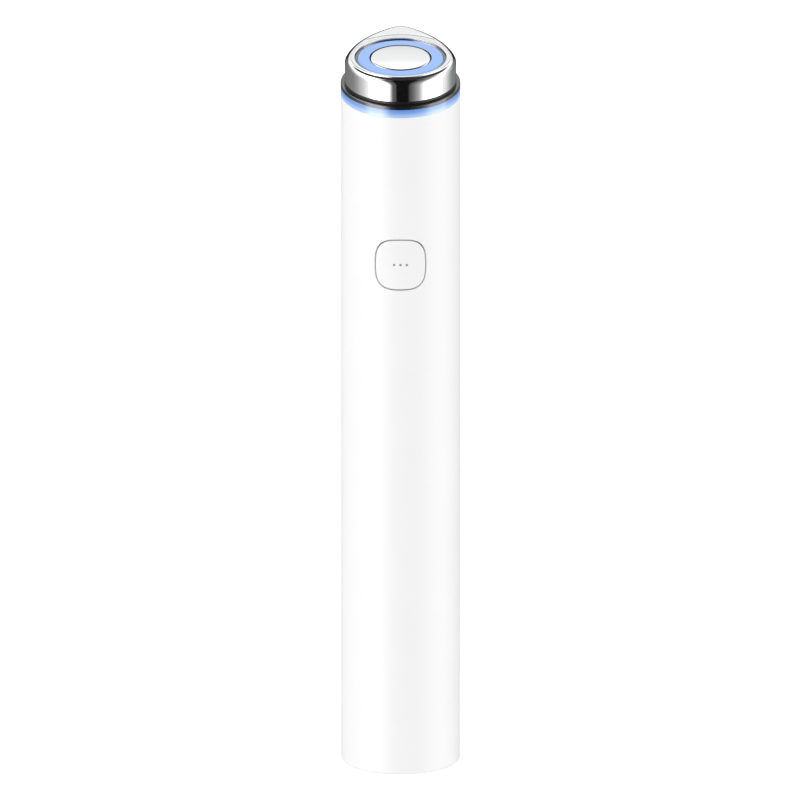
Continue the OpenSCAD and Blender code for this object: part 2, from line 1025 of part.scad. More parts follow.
module trim_ring() {
    color("silver")
        difference() {
            slanted_slice(collar_t, trim_top);
            on_head()
                translate([0, 0, -over])
                    cylinder(r = core_spigot_r + slip, h = trim_top + 2 * over);
        }
}

module head_core() {
    color([0.08, 0.08, 0.08])
        on_head()
            difference() {
                union() {
                    translate([0, 0, collar_t])
                        cylinder(r = core_spigot_r, h = trim_t + weld);
                    translate([0, 0, trim_top])
                        cylinder(r = insulator_r, h = insulator_h);
                    translate([0, 0, shell_foot])
                        linear_extrude(height = core_plate_top - shell_foot)
                            drop_outline(shell_in_r - slip, tip_in_r - slip);
                    translate([0, 0, core_plate_top - weld])
                        tube(upstand_r, upstand_in_r, window_seat - core_plate_top + weld);
                }
                at_head_screws()
                    cylinder(r = head_screw_r + clearance, h = shell_top);
                cylinder(r = centre_screw_r + clearance, h = shell_top);
                translate([0, 0, collar_t - over])
                    cylinder(r = centre_screw_head_r + clearance, h = centre_screw_head_h + clearance + over);
                ribbon_slot(collar_t - over, core_plate_top + over);
                translate([-contact_w / 2 - clearance, upstand_in_r - over, core_plate_top])
                    cube([contact_w + 2 * clearance, upstand_r - upstand_in_r + 2 * over, contact_slot_h]);
            }
}

// Radius of the circle, centred at a distance from the head's axis, that touches both of the drop's flanks
function flank_gap(y) = flank_r - sqrt(flank_x ^ 2 + (y - flank_y) ^ 2);

// One of the discs that the shell's hull goes round
module shell_disc(y) {
    translate([0, y, 0])
        rotate_extrude($fn = 64)
            rounded_disc_section(flank_gap(y), shell_h, shell_round);
}

module electrode_shell() {
    color("silver")
        on_head()
            difference() {
                union() {
                    translate([0, 0, shell_foot])
                        hull()
                            for (i = [0:flank_discs])
                                shell_disc(tip_y * i / flank_discs);
                    translate([0, 0, shell_under])
                        rotate_extrude()
                            rounded_disc_section(ring_r + lip_w, shell_wall + lip_h, lip_h * lip_round);
                }
                translate([0, 0, shell_foot - over])
                    linear_extrude(height = shell_under - shell_foot + over)
                        drop_outline(shell_in_r, tip_in_r);
                cylinder(r = ring_r + slip, h = shell_top + over);
            }
}

module ring_window() {
    color("cornflowerblue")
        on_head()
            difference() {
                union() {
                    translate([0, 0, window_seat])
                        cylinder(r = window_flange_r, h = window_flange_t);
                    translate([0, 0, window_seat])
                        cylinder(r = lit_r - slip, h = ring_top - window_seat);
                }
                cylinder(r = ring_hole_r, h = shell_top + over);
            }
}

module window_gasket() {
    color([0.1, 0.1, 0.1])
        on_head()
            translate([0, 0, shell_under])
                tube(ring_r, lit_r, ring_top - gasket_recess - shell_under);
}

module reflector_ring() {
    color("white")
        on_head()
            translate([0, 0, head_board_top])
                difference() {
                    cylinder(r = reflector_r, h = window_seat - head_board_top);
                    translate([0, 0, -over])
                        cylinder(r = reflector_in_r, h = shell_h);
                    translate([0, 0, reflector_floor_t])
                        tube(reflector_r - reflector_wall, reflector_in_r + reflector_wall, shell_h);
                    at_ring_lamps()
                        translate([0, 0, -over])
                            block([reflector_hole, reflector_hole, 2 * over]);
                }
}

module at_ring_lamps() {
    for (i = [0:ring_lamp_count - 1])
        rotate([0, 0, (i + 0.5) * 360 / ring_lamp_count])
            translate([ring_lamp_r, 0, 0])
                children();
}

module ring_leds() {
    color("lightblue")
        on_head()
            at_ring_lamps()
                translate([0, 0, head_board_top])
                    block(ring_lamp_size);
}

module centre_electrode() {
    color("silver")
        on_head()
            difference() {
                union() {
                    translate([0, 0, window_seat])
                        rotate_extrude()
                            rounded_disc_section(disc_r, disc_top - window_seat, disc_round);
                    translate([0, 0, head_board_top])
                        cylinder(r = neck_r, h = window_seat - head_board_top + weld);
                }
                translate([0, 0, head_board_top - over])
                    cylinder(r = centre_screw_r + slip, h = window_seat - head_board_top + over);
            }
}

module centre_screw() {
    head_seat = collar_t + centre_screw_head_h + clearance;
    color("silver")
        on_head()
            translate([0, 0, head_seat])
                mirror([0, 0, 1])
                    screw(centre_screw_r, window_seat - head_seat - clearance, centre_screw_head_r,
                        centre_screw_head_h);
}

module head_board() {
    color("darkgreen")
        on_head()
            translate([0, 0, core_plate_top])
                difference() {
                    cylinder(r = head_board_r, h = head_board_t);
                    at_head_screws()
                        translate([0, 0, -over])
                            cylinder(r = head_screw_r + clearance, h = head_board_t + 2 * over);
                    translate([0, 0, -over])
                        cylinder(r = centre_screw_r + clearance, h = head_board_t + 2 * over);
                }
}

module shell_contact() {
    pin_h = shell_under - core_plate_top;
    color("gold")
        on_head()
            translate([0, 0, core_plate_top]) {
                translate([-contact_w / 2, head_board_r, 0])
                    cube([contact_w, contact_pin_y - head_board_r, contact_t]);
                translate([0, contact_pin_y, 0])
                    cylinder(r = contact_pin_r, h = pin_h / 2);
                translate([0, contact_pin_y, 0])
                    cylinder(r = contact_tip_r, h = pin_h);
            }
}

module head_screws() {
    color("silver")
        on_head()
            at_head_screws()
                translate([0, 0, head_board_top])
                    screw(head_screw_r, head_screw_len, head_screw_head_r, head_screw_head_h);
}

module ribbon_cable() {
    foot = board_top - ribbon_len_on_board;
    color("orange")
        difference() {
            translate([-ribbon_w / 2, board_back, foot])
                cube([ribbon_w, ribbon_t, rim_h + body_r - foot]);
            above_on_head(core_plate_top);
        }
}

// ---- The piece that is asked for, or all of them ----

body_shell();
end_cap();
end_cap_seal();
usb_shell();
usb_tongue();
usb_board();
charge_chip();
usb_screws();
inner_frame();
battery_cell();
battery_tabs();
battery_foam();
battery_leads();
charge_leads();
main_board();
board_screws();
controller_chip();
boost_coil();
board_components();
tact_switch();
switch_plunger();
indicator_leds();
power_button();
button_light_guide();
motor_can();
motor_boot();
motor_shaft();
motor_weight();
motor_leads();
head_base();
head_seal();
light_collar();
collar_board();
collar_leds();
trim_ring();
head_core();
electrode_shell();
ring_window();
window_gasket();
reflector_ring();
centre_electrode();
centre_screw();
head_board();
ring_leds();
shell_contact();
head_screws();
ribbon_cable();
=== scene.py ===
"""Looks of a facial toning wand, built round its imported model.

Everything is in metres, in the model's own frame: +Z runs up the tube, the button faces -Y and the drop's tip
points to +Y.
Heights on the head are measured along its own slanted axis, from the tube's rim.
"""

import json
import math

import bmesh
import bpy
from mathutils import Matrix, Vector


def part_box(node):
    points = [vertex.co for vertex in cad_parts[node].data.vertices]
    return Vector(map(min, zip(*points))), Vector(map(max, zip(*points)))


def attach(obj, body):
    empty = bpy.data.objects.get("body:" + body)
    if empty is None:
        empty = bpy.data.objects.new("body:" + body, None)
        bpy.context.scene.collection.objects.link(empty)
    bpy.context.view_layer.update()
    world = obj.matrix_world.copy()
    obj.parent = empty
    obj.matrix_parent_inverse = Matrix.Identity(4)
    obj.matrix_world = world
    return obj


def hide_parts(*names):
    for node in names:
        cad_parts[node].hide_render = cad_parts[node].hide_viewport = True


MM = 0.001
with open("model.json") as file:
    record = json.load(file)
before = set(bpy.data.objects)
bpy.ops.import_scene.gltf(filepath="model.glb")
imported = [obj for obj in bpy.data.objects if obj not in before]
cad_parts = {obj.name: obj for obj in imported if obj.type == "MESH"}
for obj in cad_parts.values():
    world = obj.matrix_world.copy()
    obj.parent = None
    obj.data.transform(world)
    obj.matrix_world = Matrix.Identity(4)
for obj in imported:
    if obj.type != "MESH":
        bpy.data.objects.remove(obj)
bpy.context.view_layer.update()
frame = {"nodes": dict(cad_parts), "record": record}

# ---- Sizes: what the frame holds is read from it, and the rest are the head's own heights and radii ----

TILT = math.radians(9.5)
TUBE_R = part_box("body_shell")[1].x
RIM_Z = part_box("body_shell")[1].z - TUBE_R * math.tan(TILT)
TUBE_WALL = 1.6 * MM
BORE_R = TUBE_R - TUBE_WALL
CAP_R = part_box("end_cap")[1].x
CAP_T = 1.8 * MM
BUTTON_DROP = 0.2 * MM  # how far the photographed button lies below the frame's
BUTTON_Z = (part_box("power_button")[0].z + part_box("power_button")[1].z) / 2 - BUTTON_DROP
WINDOW_W = 10.8 * MM
WINDOW_H = 10.6 * MM
WINDOW_POWER = 3.0  # exponent of the window's superellipse
BUTTON_GAP = 0.25 * MM
FLANGE_LAP = 0.6 * MM
FLANGE_GAP = 0.1 * MM
FLANGE_R = BORE_R - FLANGE_GAP
FLANGE_T = 0.8 * MM
DOT_R = 0.25 * MM
DOT_PITCH = 1.27 * MM

COLLAR_T = 1.65 * MM
TRIM_TOP = 2.4 * MM
SHELL_FOOT = 3.05 * MM
SHELL_TOP = 7.85 * MM
SHELL_WALL = 0.9 * MM
SHELL_UNDER = SHELL_TOP - SHELL_WALL
INSULATOR_R = TUBE_R - 0.8 * MM
SHELL_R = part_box("electrode_shell")[1].x
TIP_R = 3.2 * MM
TIP_Y = 13.1 * MM
FLANK_R = 22 * MM       # radius of the drop's long flanks
STRAIGHT = 2000 * MM    # a flank's radius where it is as good as straight
SHELL_ROUND = 1.1 * MM
GASKET_R = 9.15 * MM
GASKET_W = 0.6 * MM
GASKET_TOP = 7.65 * MM
GASKET_GAP = 0.05 * MM
RING_R = GASKET_R - GASKET_W - GASKET_GAP
RING_HOLE_R = 6.24 * MM
LIP_R = 9.95 * MM
LIP_H = 0.15 * MM
WINDOW_SEAT = 6.35 * MM
WINDOW_FLANGE_R = 10.05 * MM
RING_TOP = 7.8 * MM
GAP_SHADE_T = 0.06 * MM     # black ring standing for the shadow in the gap round the disc: painted shade
GAP_SHADE_CLEARANCE = 0.005 * MM  # on either side of it
DISC_R = RING_HOLE_R - 2 * GAP_SHADE_CLEARANCE - GAP_SHADE_T
DISC_TOP = 7.95 * MM
BOARD_TOP = 4.75 * MM
HEAD = Matrix.Translation((0, 0, RIM_Z)) @ Matrix.Rotation(TILT, 4, "X")

# Camera, as the photograph was taken: almost parallel, from a little above
CAMERA_RISE = math.radians(15.6)
CAMERA_AWAY = 4.5
CAMERA_TARGET = Vector((-0.1 * MM, 0, 75.08 * MM))
PIXELS_PER_M = 4975
PHOTO_WIDTH = 800
SENSOR = 36


# ---- Mesh tools ----

SHARP = math.cos(math.radians(35))  # faces that meet at more than this angle keep a hard edge
ON_AXIS = 0.0001 * MM               # radius of a point on the axis, small enough for the weld to join it


def turns(count):
    """Equal angles round a circle: 0 is the front."""
    return [2 * math.pi * i / count for i in range(count)]


def circle_ring(r, height, count):
    """A circle round the axis."""
    return [Vector((r * math.sin(a), -r * math.cos(a), height)) for a in turns(count)]


def slanted_ring(r, n, count):
    """Where a cylinder round the tube's axis meets the head's plane at height n."""
    points = []
    for a in turns(count):
        y = -r * math.cos(a)
        points.append(Vector((r * math.sin(a), y, RIM_Z + (n + y * math.sin(TILT)) / math.cos(TILT))))
    return points


def round_corners(corners, steps=6):
    """The points of a closed outline whose corners, (x, y, radius), are rounded with arcs."""
    points = []
    for i, (x, y, radius) in enumerate(corners):
        here = Vector((x, y))
        before = Vector(corners[i - 1][:2])
        after = Vector(corners[(i + 1) % len(corners)][:2])
        if radius <= 0:
            points.append(here)
            continue
        to_before = (before - here).normalized()
        to_after = (after - here).normalized()
        half = math.acos(max(-1, min(1, to_before.dot(to_after)))) / 2
        reach = radius / math.tan(half)
        centre = here + (to_before + to_after).normalized() * radius / math.sin(half)
        start = here + to_before * reach - centre
        end = here + to_after * reach - centre
        sweep = start.angle_signed(end)
        for k in range(steps + 1):
            turn = Matrix.Rotation(-sweep * k / steps, 2)
            points.append(centre + turn @ start)
    return points


def arc(count):
    """Pairs (sine, 1 - cosine) of a quarter turn."""
    angles = [math.pi / 2 * k / count for k in range(count + 1)]
    return [(math.sin(a), 1 - math.cos(a)) for a in angles]


def skin(rings, joined=False):
    """Vertices and faces over rings of equal length, with open ends. A joined skin closes on itself."""
    count = len(rings[0])
    verts = [p for ring in rings for p in ring]
    faces = []
    for i in range(len(rings) if joined else len(rings) - 1):
        low, high = i * count, (i + 1) % len(rings) * count
        for j in range(count):
            k = (j + 1) % count
            faces.append((low + j, low + k, high + k, high + j))
    return verts, faces


def loft(rings):
    """A skin over rings of equal length, with a fan of faces over each end."""
    verts, faces = skin(rings)
    count = len(rings[0])
    for first, turn in ((0, -1), ((len(rings) - 1) * count, 1)):
        verts.append(sum((verts[first + j] for j in range(count)), Vector()) / count)
        for j in range(count):
            pair = (first + j, first + (j + 1) % count)
            faces.append((*pair[::turn], len(verts) - 1))
    return verts, faces


def lathe(profile, count=160):
    """A closed outline of (radius, height) turned round the axis. Points on the axis become one vertex."""
    return skin([circle_ring(max(r, ON_AXIS), z, count) for r, z in profile], joined=True)


def moved(shape, matrix):
    verts, faces = shape
    return [matrix @ v for v in verts], faces


def together(*shapes):
    """One list of vertices and faces from several."""
    verts, faces = [], []
    for shape_verts, shape_faces in shapes:
        base = len(verts)
        verts += shape_verts
        faces += [tuple(base + i for i in face) for face in shape_faces]
    return verts, faces


def corner_normals(tool):
    """A normal for each face corner: the mean of the faces that meet there bluntly, weighted by area."""
    tool.faces.index_update()
    areas = [face.calc_area() for face in tool.faces]
    normals = []
    for face in tool.faces:
        for vert in face.verts:
            blunt = [f for f in vert.link_faces if f.normal.dot(face.normal) > SHARP]
            normals.append(sum((f.normal * areas[f.index] for f in blunt), Vector()).normalized())
    return normals


def piece(name, shape, material, body="root", replaces=(), weld=1e-6):
    """A smooth-shaded piece, its flats kept flat, that rides on a body and stands for CAD nodes."""
    mesh = bpy.data.meshes.new(name)
    mesh.from_pydata([tuple(v) for v in shape[0]], [], shape[1])
    tool = bmesh.new()
    tool.from_mesh(mesh)
    bmesh.ops.remove_doubles(tool, verts=tool.verts, dist=weld)
    bmesh.ops.dissolve_degenerate(tool, edges=tool.edges, dist=weld / 2)
    bmesh.ops.recalc_face_normals(tool, faces=tool.faces)
    normals = corner_normals(tool)
    tool.to_mesh(mesh)
    tool.free()
    mesh.shade_smooth()
    mesh.normals_split_custom_set(normals)
    made = bpy.data.objects.new(name, mesh)
    bpy.context.scene.collection.objects.link(made)
    made.data.materials.append(material)
    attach(made, body)
    if replaces:
        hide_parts(*replaces)
    return made


# ---- Materials ----


def material(name):
    """An empty node material: (material, node tree, shader)."""
    made = bpy.data.materials.new(name)
    made.use_nodes = True
    tree = made.node_tree
    tree.nodes.clear()
    shader = tree.nodes.new("ShaderNodeBsdfPrincipled")
    output = tree.nodes.new("ShaderNodeOutputMaterial")
    tree.links.new(shader.outputs[0], output.inputs[0])
    return made, tree, shader


def place(tree):
    """The point on the piece, in metres."""
    return tree.nodes.new("ShaderNodeTexCoord").outputs["Object"]


def noise(tree, scale, detail=3, roughness=0.55, stretch=None):
    """Noise whose features are about 1/scale metres across."""
    texture = tree.nodes.new("ShaderNodeTexNoise")
    texture.inputs["Scale"].default_value = scale
    texture.inputs["Detail"].default_value = detail
    texture.inputs["Roughness"].default_value = roughness
    source = place(tree)
    if stretch:
        mapping = tree.nodes.new("ShaderNodeMapping")
        mapping.inputs["Scale"].default_value = stretch
        tree.links.new(source, mapping.inputs["Vector"])
        source = mapping.outputs[0]
    tree.links.new(source, texture.inputs["Vector"])
    return texture.outputs["Fac"]


def spread(tree, value, low, high, start=0.3, end=0.7):
    """A value from start to end spread over low to high."""
    ranged = tree.nodes.new("ShaderNodeMapRange")
    ranged.inputs["From Min"].default_value = start
    ranged.inputs["From Max"].default_value = end
    ranged.inputs["To Min"].default_value = low
    ranged.inputs["To Max"].default_value = high
    tree.links.new(value, ranged.inputs["Value"])
    return ranged.outputs["Result"]


def ramp(tree, value, stops):
    """Colours along a value, as (place, colour) stops."""
    made = tree.nodes.new("ShaderNodeValToRGB")
    while len(made.color_ramp.elements) < len(stops):
        made.color_ramp.elements.new(0.5)
    for element, (at, colour) in zip(made.color_ramp.elements, stops):
        element.position = at
        element.color = (*colour, 1)
    tree.links.new(value, made.inputs["Fac"])
    return made.outputs["Color"]


def bump(tree, shader, height, strength, distance):
    """Relief from a height, on the shader's normal."""
    made = tree.nodes.new("ShaderNodeBump")
    made.inputs["Strength"].default_value = strength
    made.inputs["Distance"].default_value = distance
    tree.links.new(height, made.inputs["Height"])
    tree.links.new(made.outputs[0], shader.inputs["Normal"])


def finish_of(name, colour, rough, metal=0.0, grain=9000, mottle=0.04, bump_height=2e-6, stretch=None,
              coat=0.0, ior=1.5):
    """A surface with its own colour drift, gloss drift and grain. rough is (smoothest, roughest)."""
    made, tree, shader = material(name)
    drift = noise(tree, 260, 2)
    low = tuple(c * (1 - mottle) for c in colour)
    high = tuple(min(1, c * (1 + mottle)) for c in colour)
    tree.links.new(ramp(tree, drift, [(0.3, low), (0.7, high)]), shader.inputs["Base Color"])
    fine = noise(tree, grain, 4, 0.6, stretch)
    tree.links.new(spread(tree, fine, *rough), shader.inputs["Roughness"])
    shader.inputs["Metallic"].default_value = metal
    shader.inputs["Coat Weight"].default_value = coat
    shader.inputs["IOR"].default_value = ior
    bump(tree, shader, fine, 0.6, bump_height)
    return made


def chrome_plate(name, grey):
    """Polished plate: even, with a trace of wiping marks and a slow waviness."""
    made, tree, shader = material(name)
    drift = noise(tree, 180, 2)
    dark, bright = (grey * 0.98, grey * 0.985, grey * 0.99), (grey, grey, grey * 1.01)
    colour = ramp(tree, drift, [(0.3, dark), (0.7, bright)])
    tree.links.new(colour, shader.inputs["Base Color"])
    shader.inputs["Metallic"].default_value = 1
    wiped = noise(tree, 1500, 4, 0.6, (1, 1, 6))
    tree.links.new(spread(tree, wiped, 0.03, 0.07), shader.inputs["Roughness"])
    bump(tree, shader, noise(tree, 500, 2), 0.25, 1.2e-6)
    return made


def white_plastic():
    """Satin moulded plastic with a fine grain."""
    made, tree, shader = material("white_plastic")
    drift = noise(tree, 90, 2)
    colour = ramp(tree, drift, [(0.3, (0.925, 0.925, 0.925)), (0.7, (0.94, 0.94, 0.94))])
    tree.links.new(colour, shader.inputs["Base Color"])
    grain = noise(tree, 11000, 3, 0.6)
    tree.links.new(spread(tree, grain, 0.34, 0.42), shader.inputs["Roughness"])
    shader.inputs["Subsurface Weight"].default_value = 0.05
    shader.inputs["Subsurface Radius"].default_value = (0.001, 0.001, 0.001)
    shader.inputs["Subsurface Scale"].default_value = 0.6
    bump(tree, shader, grain, 0.3, 1.5e-6)
    return made


def head_height(tree):
    """Height along the head's slanted axis, in metres."""
    centred = tree.nodes.new("ShaderNodeVectorMath")
    centred.operation = "SUBTRACT"
    centred.inputs[1].default_value = (0, 0, RIM_Z)
    tree.links.new(place(tree), centred.inputs[0])
    along = tree.nodes.new("ShaderNodeVectorMath")
    along.operation = "DOT_PRODUCT"
    along.inputs[1].default_value = (0, -math.sin(TILT), math.cos(TILT))
    tree.links.new(centred.outputs[0], along.inputs[0])
    return along.outputs["Value"]


def lit_plastic(name, stops, low, high, ior, rough=0.12):
    """Frosted plastic that glows. The colour changes with the height on the head, from low to high."""
    made, tree, shader = material(name)
    height = spread(tree, head_height(tree), 0, 1, low, high)
    glow = ramp(tree, height, stops)
    haze = noise(tree, 900, 3)
    mixed = tree.nodes.new("ShaderNodeMix")
    mixed.data_type = "RGBA"
    mixed.blend_type = "MULTIPLY"
    mixed.inputs["Factor"].default_value = 1
    tree.links.new(glow, mixed.inputs["A"])
    tree.links.new(ramp(tree, haze, [(0.3, (0.96, 0.97, 0.98)), (0.7, (1, 1, 1))]), mixed.inputs["B"])
    tree.links.new(mixed.outputs["Result"], shader.inputs["Emission Color"])
    shader.inputs["Emission Strength"].default_value = 1
    shader.inputs["Base Color"].default_value = (0.03, 0.045, 0.08, 1)
    shader.inputs["IOR"].default_value = ior
    tree.links.new(spread(tree, haze, rough, rough + 0.08), shader.inputs["Roughness"])
    return made


CHROME = chrome_plate("chrome_plate", 0.92)
WHITE = white_plastic()
BRUSHED = (1, 1, 0.1)   # a grain drawn out along Z
NEAR_BLACK = (0.012, 0.012, 0.013)
BLACK = finish_of("black_plastic", NEAR_BLACK, (0.22, 0.34), mottle=0.1)
TRIM = finish_of("black_plate", NEAR_BLACK, (0.03, 0.07), mottle=0.1, grain=1500, bump_height=2e-7, ior=2.1)
GASKET = finish_of("gasket_gloss", (0.03, 0.03, 0.032), (0.06, 0.1), mottle=0.1, grain=2500, bump_height=4e-7,
                   ior=2.5)
COLLAR_GLOW = lit_plastic(
    "collar_glow",
    [(0, (0.44, 0.56, 0.82)), (0.25, (0.36, 0.52, 0.82)), (0.6, (0.18, 0.33, 0.70)), (1, (0.10, 0.23, 0.56))],
    0, COLLAR_T, 2.2)
RING_GLOW = lit_plastic(
    "ring_glow", [(0, (0.24, 0.41, 0.83)), (1, (0.25, 0.42, 0.82))], WINDOW_SEAT, RING_TOP, 1.5)


# ---- Tube, with its window for the button ----

PATCH_SIDE = 24         # mesh columns across the square patch round the window, and rows up it
PATCH_MARGIN = 1.3 * MM
PATCH_HALF_W = WINDOW_W / 2 + PATCH_MARGIN
PATCH_HALF_H = WINDOW_H / 2 + PATCH_MARGIN
PATCH_SHARES = (0, 0.35, 0.7, 1)    # mesh rings from the patch's rim, 0, to the window, 1
BACK_COLUMNS = 104      # mesh columns round the rest of the tube
LOW_ROWS = 24
HIGH_ROWS = 10
EDGE_ROUND = 0.12 * MM
BASE_ROUND = 0.5 * MM
RIM_ROUND = 0.08 * MM


def superellipse(direction, half_w, half_h):
    """The point of a superellipse in a direction from its centre."""
    x, z = direction
    reach = (abs(x / half_w) ** WINDOW_POWER + abs(z / half_h) ** WINDOW_POWER) ** (-1 / WINDOW_POWER)
    return Vector((x * reach, z * reach))


def superellipse_normal(point, half_w, half_h):
    """The outward direction at a point of a superellipse."""
    power = WINDOW_POWER - 1
    x, z = point
    gradient = Vector((
        math.copysign(abs(x / half_w) ** power, x) / half_w,
        math.copysign(abs(z / half_h) ** power, z) / half_h))
    return gradient.normalized()


def on_tube(across, up, r):
    """The point at a distance across the tube's front, measured along its outside, a height and a radius."""
    a = across / TUBE_R
    return Vector((r * math.sin(a), -r * math.cos(a), up))


def patch_rim():
    """Points round the window's square patch, as (across, up) from the window's centre."""
    steps = [-1 + 2 * i / PATCH_SIDE for i in range(PATCH_SIDE)]
    rim = [Vector((s * PATCH_HALF_W, -PATCH_HALF_H)) for s in steps]
    rim += [Vector((PATCH_HALF_W, s * PATCH_HALF_H)) for s in steps]
    rim += [Vector((-s * PATCH_HALF_W, PATCH_HALF_H)) for s in steps]
    rim += [Vector((-PATCH_HALF_W, -s * PATCH_HALF_H)) for s in steps]
    return rim


def window_edge(direction, widen):
    """The point of the window's outline, widened, in a direction from its centre."""
    edge = superellipse(direction, WINDOW_W / 2, WINDOW_H / 2)
    return edge + superellipse_normal(edge, WINDOW_W / 2, WINDOW_H / 2) * widen


def window_ring(widen, r, share=1):
    """A ring at a radius, from the patch's rim, share 0, to the window's widened outline, share 1."""
    places = [corner.lerp(window_edge(corner, widen), share) for corner in patch_rim()]
    return [on_tube(at.x, BUTTON_Z + at.y, r) for at in places]


def tube_columns():
    """The mesh columns' distances across the tube's front, first over the patch and then round the back."""
    columns = [-PATCH_HALF_W + 2 * PATCH_HALF_W * i / PATCH_SIDE for i in range(PATCH_SIDE)]
    back = 2 * math.pi * TUBE_R - 2 * PATCH_HALF_W
    return columns + [PATCH_HALF_W + back * i / BACK_COLUMNS for i in range(BACK_COLUMNS)]


def level_ring(r, z):
    """A level ring on the tube mesh's columns."""
    return [on_tube(across, z, r) for across in tube_columns()]


def rim_ring(r, inset, start=0.0, share=1.0):
    """A ring on the tube mesh's columns, from a start height, share 0, to the lowered rim, share 1."""
    ring = []
    for across in tube_columns():
        rim_z = RIM_Z - r * math.cos(across / TUBE_R) * math.tan(TILT) - inset
        ring.append(on_tube(across, start + (rim_z - start) * share, r))
    return ring


def tube_skin(r, widen, low_z, rim_inset):
    """The tube's skin at a radius, from a height up to the rim, with the window cut out of its patch."""
    patch_low, patch_high = BUTTON_Z - PATCH_HALF_H, BUTTON_Z + PATCH_HALF_H
    rows = [level_ring(r, low_z + (patch_low - low_z) * i / LOW_ROWS) for i in range(LOW_ROWS)]
    rows += [level_ring(r, patch_low + 2 * PATCH_HALF_H * i / PATCH_SIDE) for i in range(PATCH_SIDE)]
    rows += [rim_ring(r, rim_inset, patch_high, i / HIGH_ROWS) for i in range(HIGH_ROWS + 1)]
    verts, faces = skin(rows)
    round_patch = []
    for i, face in enumerate(faces):
        row, column = divmod(i, len(rows[0]))
        if column >= PATCH_SIDE or not LOW_ROWS <= row < LOW_ROWS + PATCH_SIDE:
            round_patch.append(face)
    return together((verts, round_patch), skin([window_ring(widen, r, share) for share in PATCH_SHARES]))


def make_tube():
    """The white tube: two skins, joined at the base, at the rim and round the window."""
    outside = tube_skin(TUBE_R, EDGE_ROUND, BASE_ROUND, RIM_ROUND)
    inside = tube_skin(BORE_R, 0, CAP_T, 0)
    cap_gap, chamfer = 0.05 * MM, 0.1 * MM
    base = [level_ring(TUBE_R - BASE_ROUND * c, BASE_ROUND * (1 - s)) for s, c in arc(8)]
    base += [level_ring(CAP_R + cap_gap + chamfer, 0), level_ring(CAP_R + cap_gap, chamfer),
             level_ring(CAP_R + cap_gap, CAP_T), level_ring(BORE_R, CAP_T)]
    rim = [rim_ring(TUBE_R - RIM_ROUND * c, RIM_ROUND * (1 - s)) for s, c in arc(3)]
    rim.append(rim_ring(BORE_R, 0))
    hole = [window_ring(EDGE_ROUND * (1 - s), TUBE_R - EDGE_ROUND * c) for s, c in arc(5)]
    hole.append(window_ring(0, BORE_R))
    shape = together(outside, inside, skin(base), skin(rim), skin(hole))
    return piece("tube", shape, WHITE, replaces=["body_shell"], weld=2e-6)


# ---- Button and its light dots ----

BUTTON_DISH = 0.2 * MM      # how far the middle of its top lies below the edge
BUTTON_EDGE = 0.22 * MM
BUTTON_SHARES = (0.03, 0.12, 0.25, 0.4, 0.55, 0.7, 0.82, 0.92, 0.98, 1)     # mesh rings of the top
GUIDE_FRONT = -(FLANGE_R - FLANGE_T + 0.35 * MM)
GUIDE_T = 0.8 * MM
DOT_PROUD = 0.045 * MM
DOT_EDGE = 0.04 * MM


def button_top(share):
    """A ring of the button's dished top, from its centre, 0, to its edge, 1."""
    half_w = WINDOW_W / 2 - BUTTON_GAP - BUTTON_EDGE
    half_h = WINDOW_H / 2 - BUTTON_GAP - BUTTON_EDGE
    r = TUBE_R - BUTTON_DISH + BUTTON_DISH * share ** 2.5
    places = [superellipse(corner, half_w, half_h) * share for corner in patch_rim()]
    return [on_tube(at.x, BUTTON_Z + at.y, r) for at in places]


def make_button():
    """The button's cap, with the flange that holds it in the window, and its post."""
    under_r = FLANGE_R - FLANGE_T
    rings = [button_top(share) for share in BUTTON_SHARES]
    for s, c in arc(6)[1:]:
        rings.append(window_ring(-BUTTON_GAP - BUTTON_EDGE * (1 - s), TUBE_R - BUTTON_EDGE * c))
    rings += [window_ring(-BUTTON_GAP, FLANGE_R + 0.02 * MM), window_ring(-BUTTON_GAP, FLANGE_R),
              window_ring(FLANGE_LAP, FLANGE_R), window_ring(FLANGE_LAP, under_r),
              window_ring(-BUTTON_GAP, under_r)]
    post_r, chamfer, sunk = 1.2 * MM, 0.15 * MM, 0.3 * MM
    back_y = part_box("power_button")[1].y
    switch_z = (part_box("switch_plunger")[0].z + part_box("switch_plunger")[1].z) / 2
    length = back_y + under_r + sunk
    post = lathe([(0, 0), (post_r - chamfer, 0), (post_r, chamfer), (post_r, length), (0, length)], 48)
    post = moved(post, Matrix.Translation((0, back_y, switch_z)) @ Matrix.Rotation(math.pi / 2, 4, "X"))
    return piece("button", together(loft(rings), post), WHITE, "button", ["power_button"])


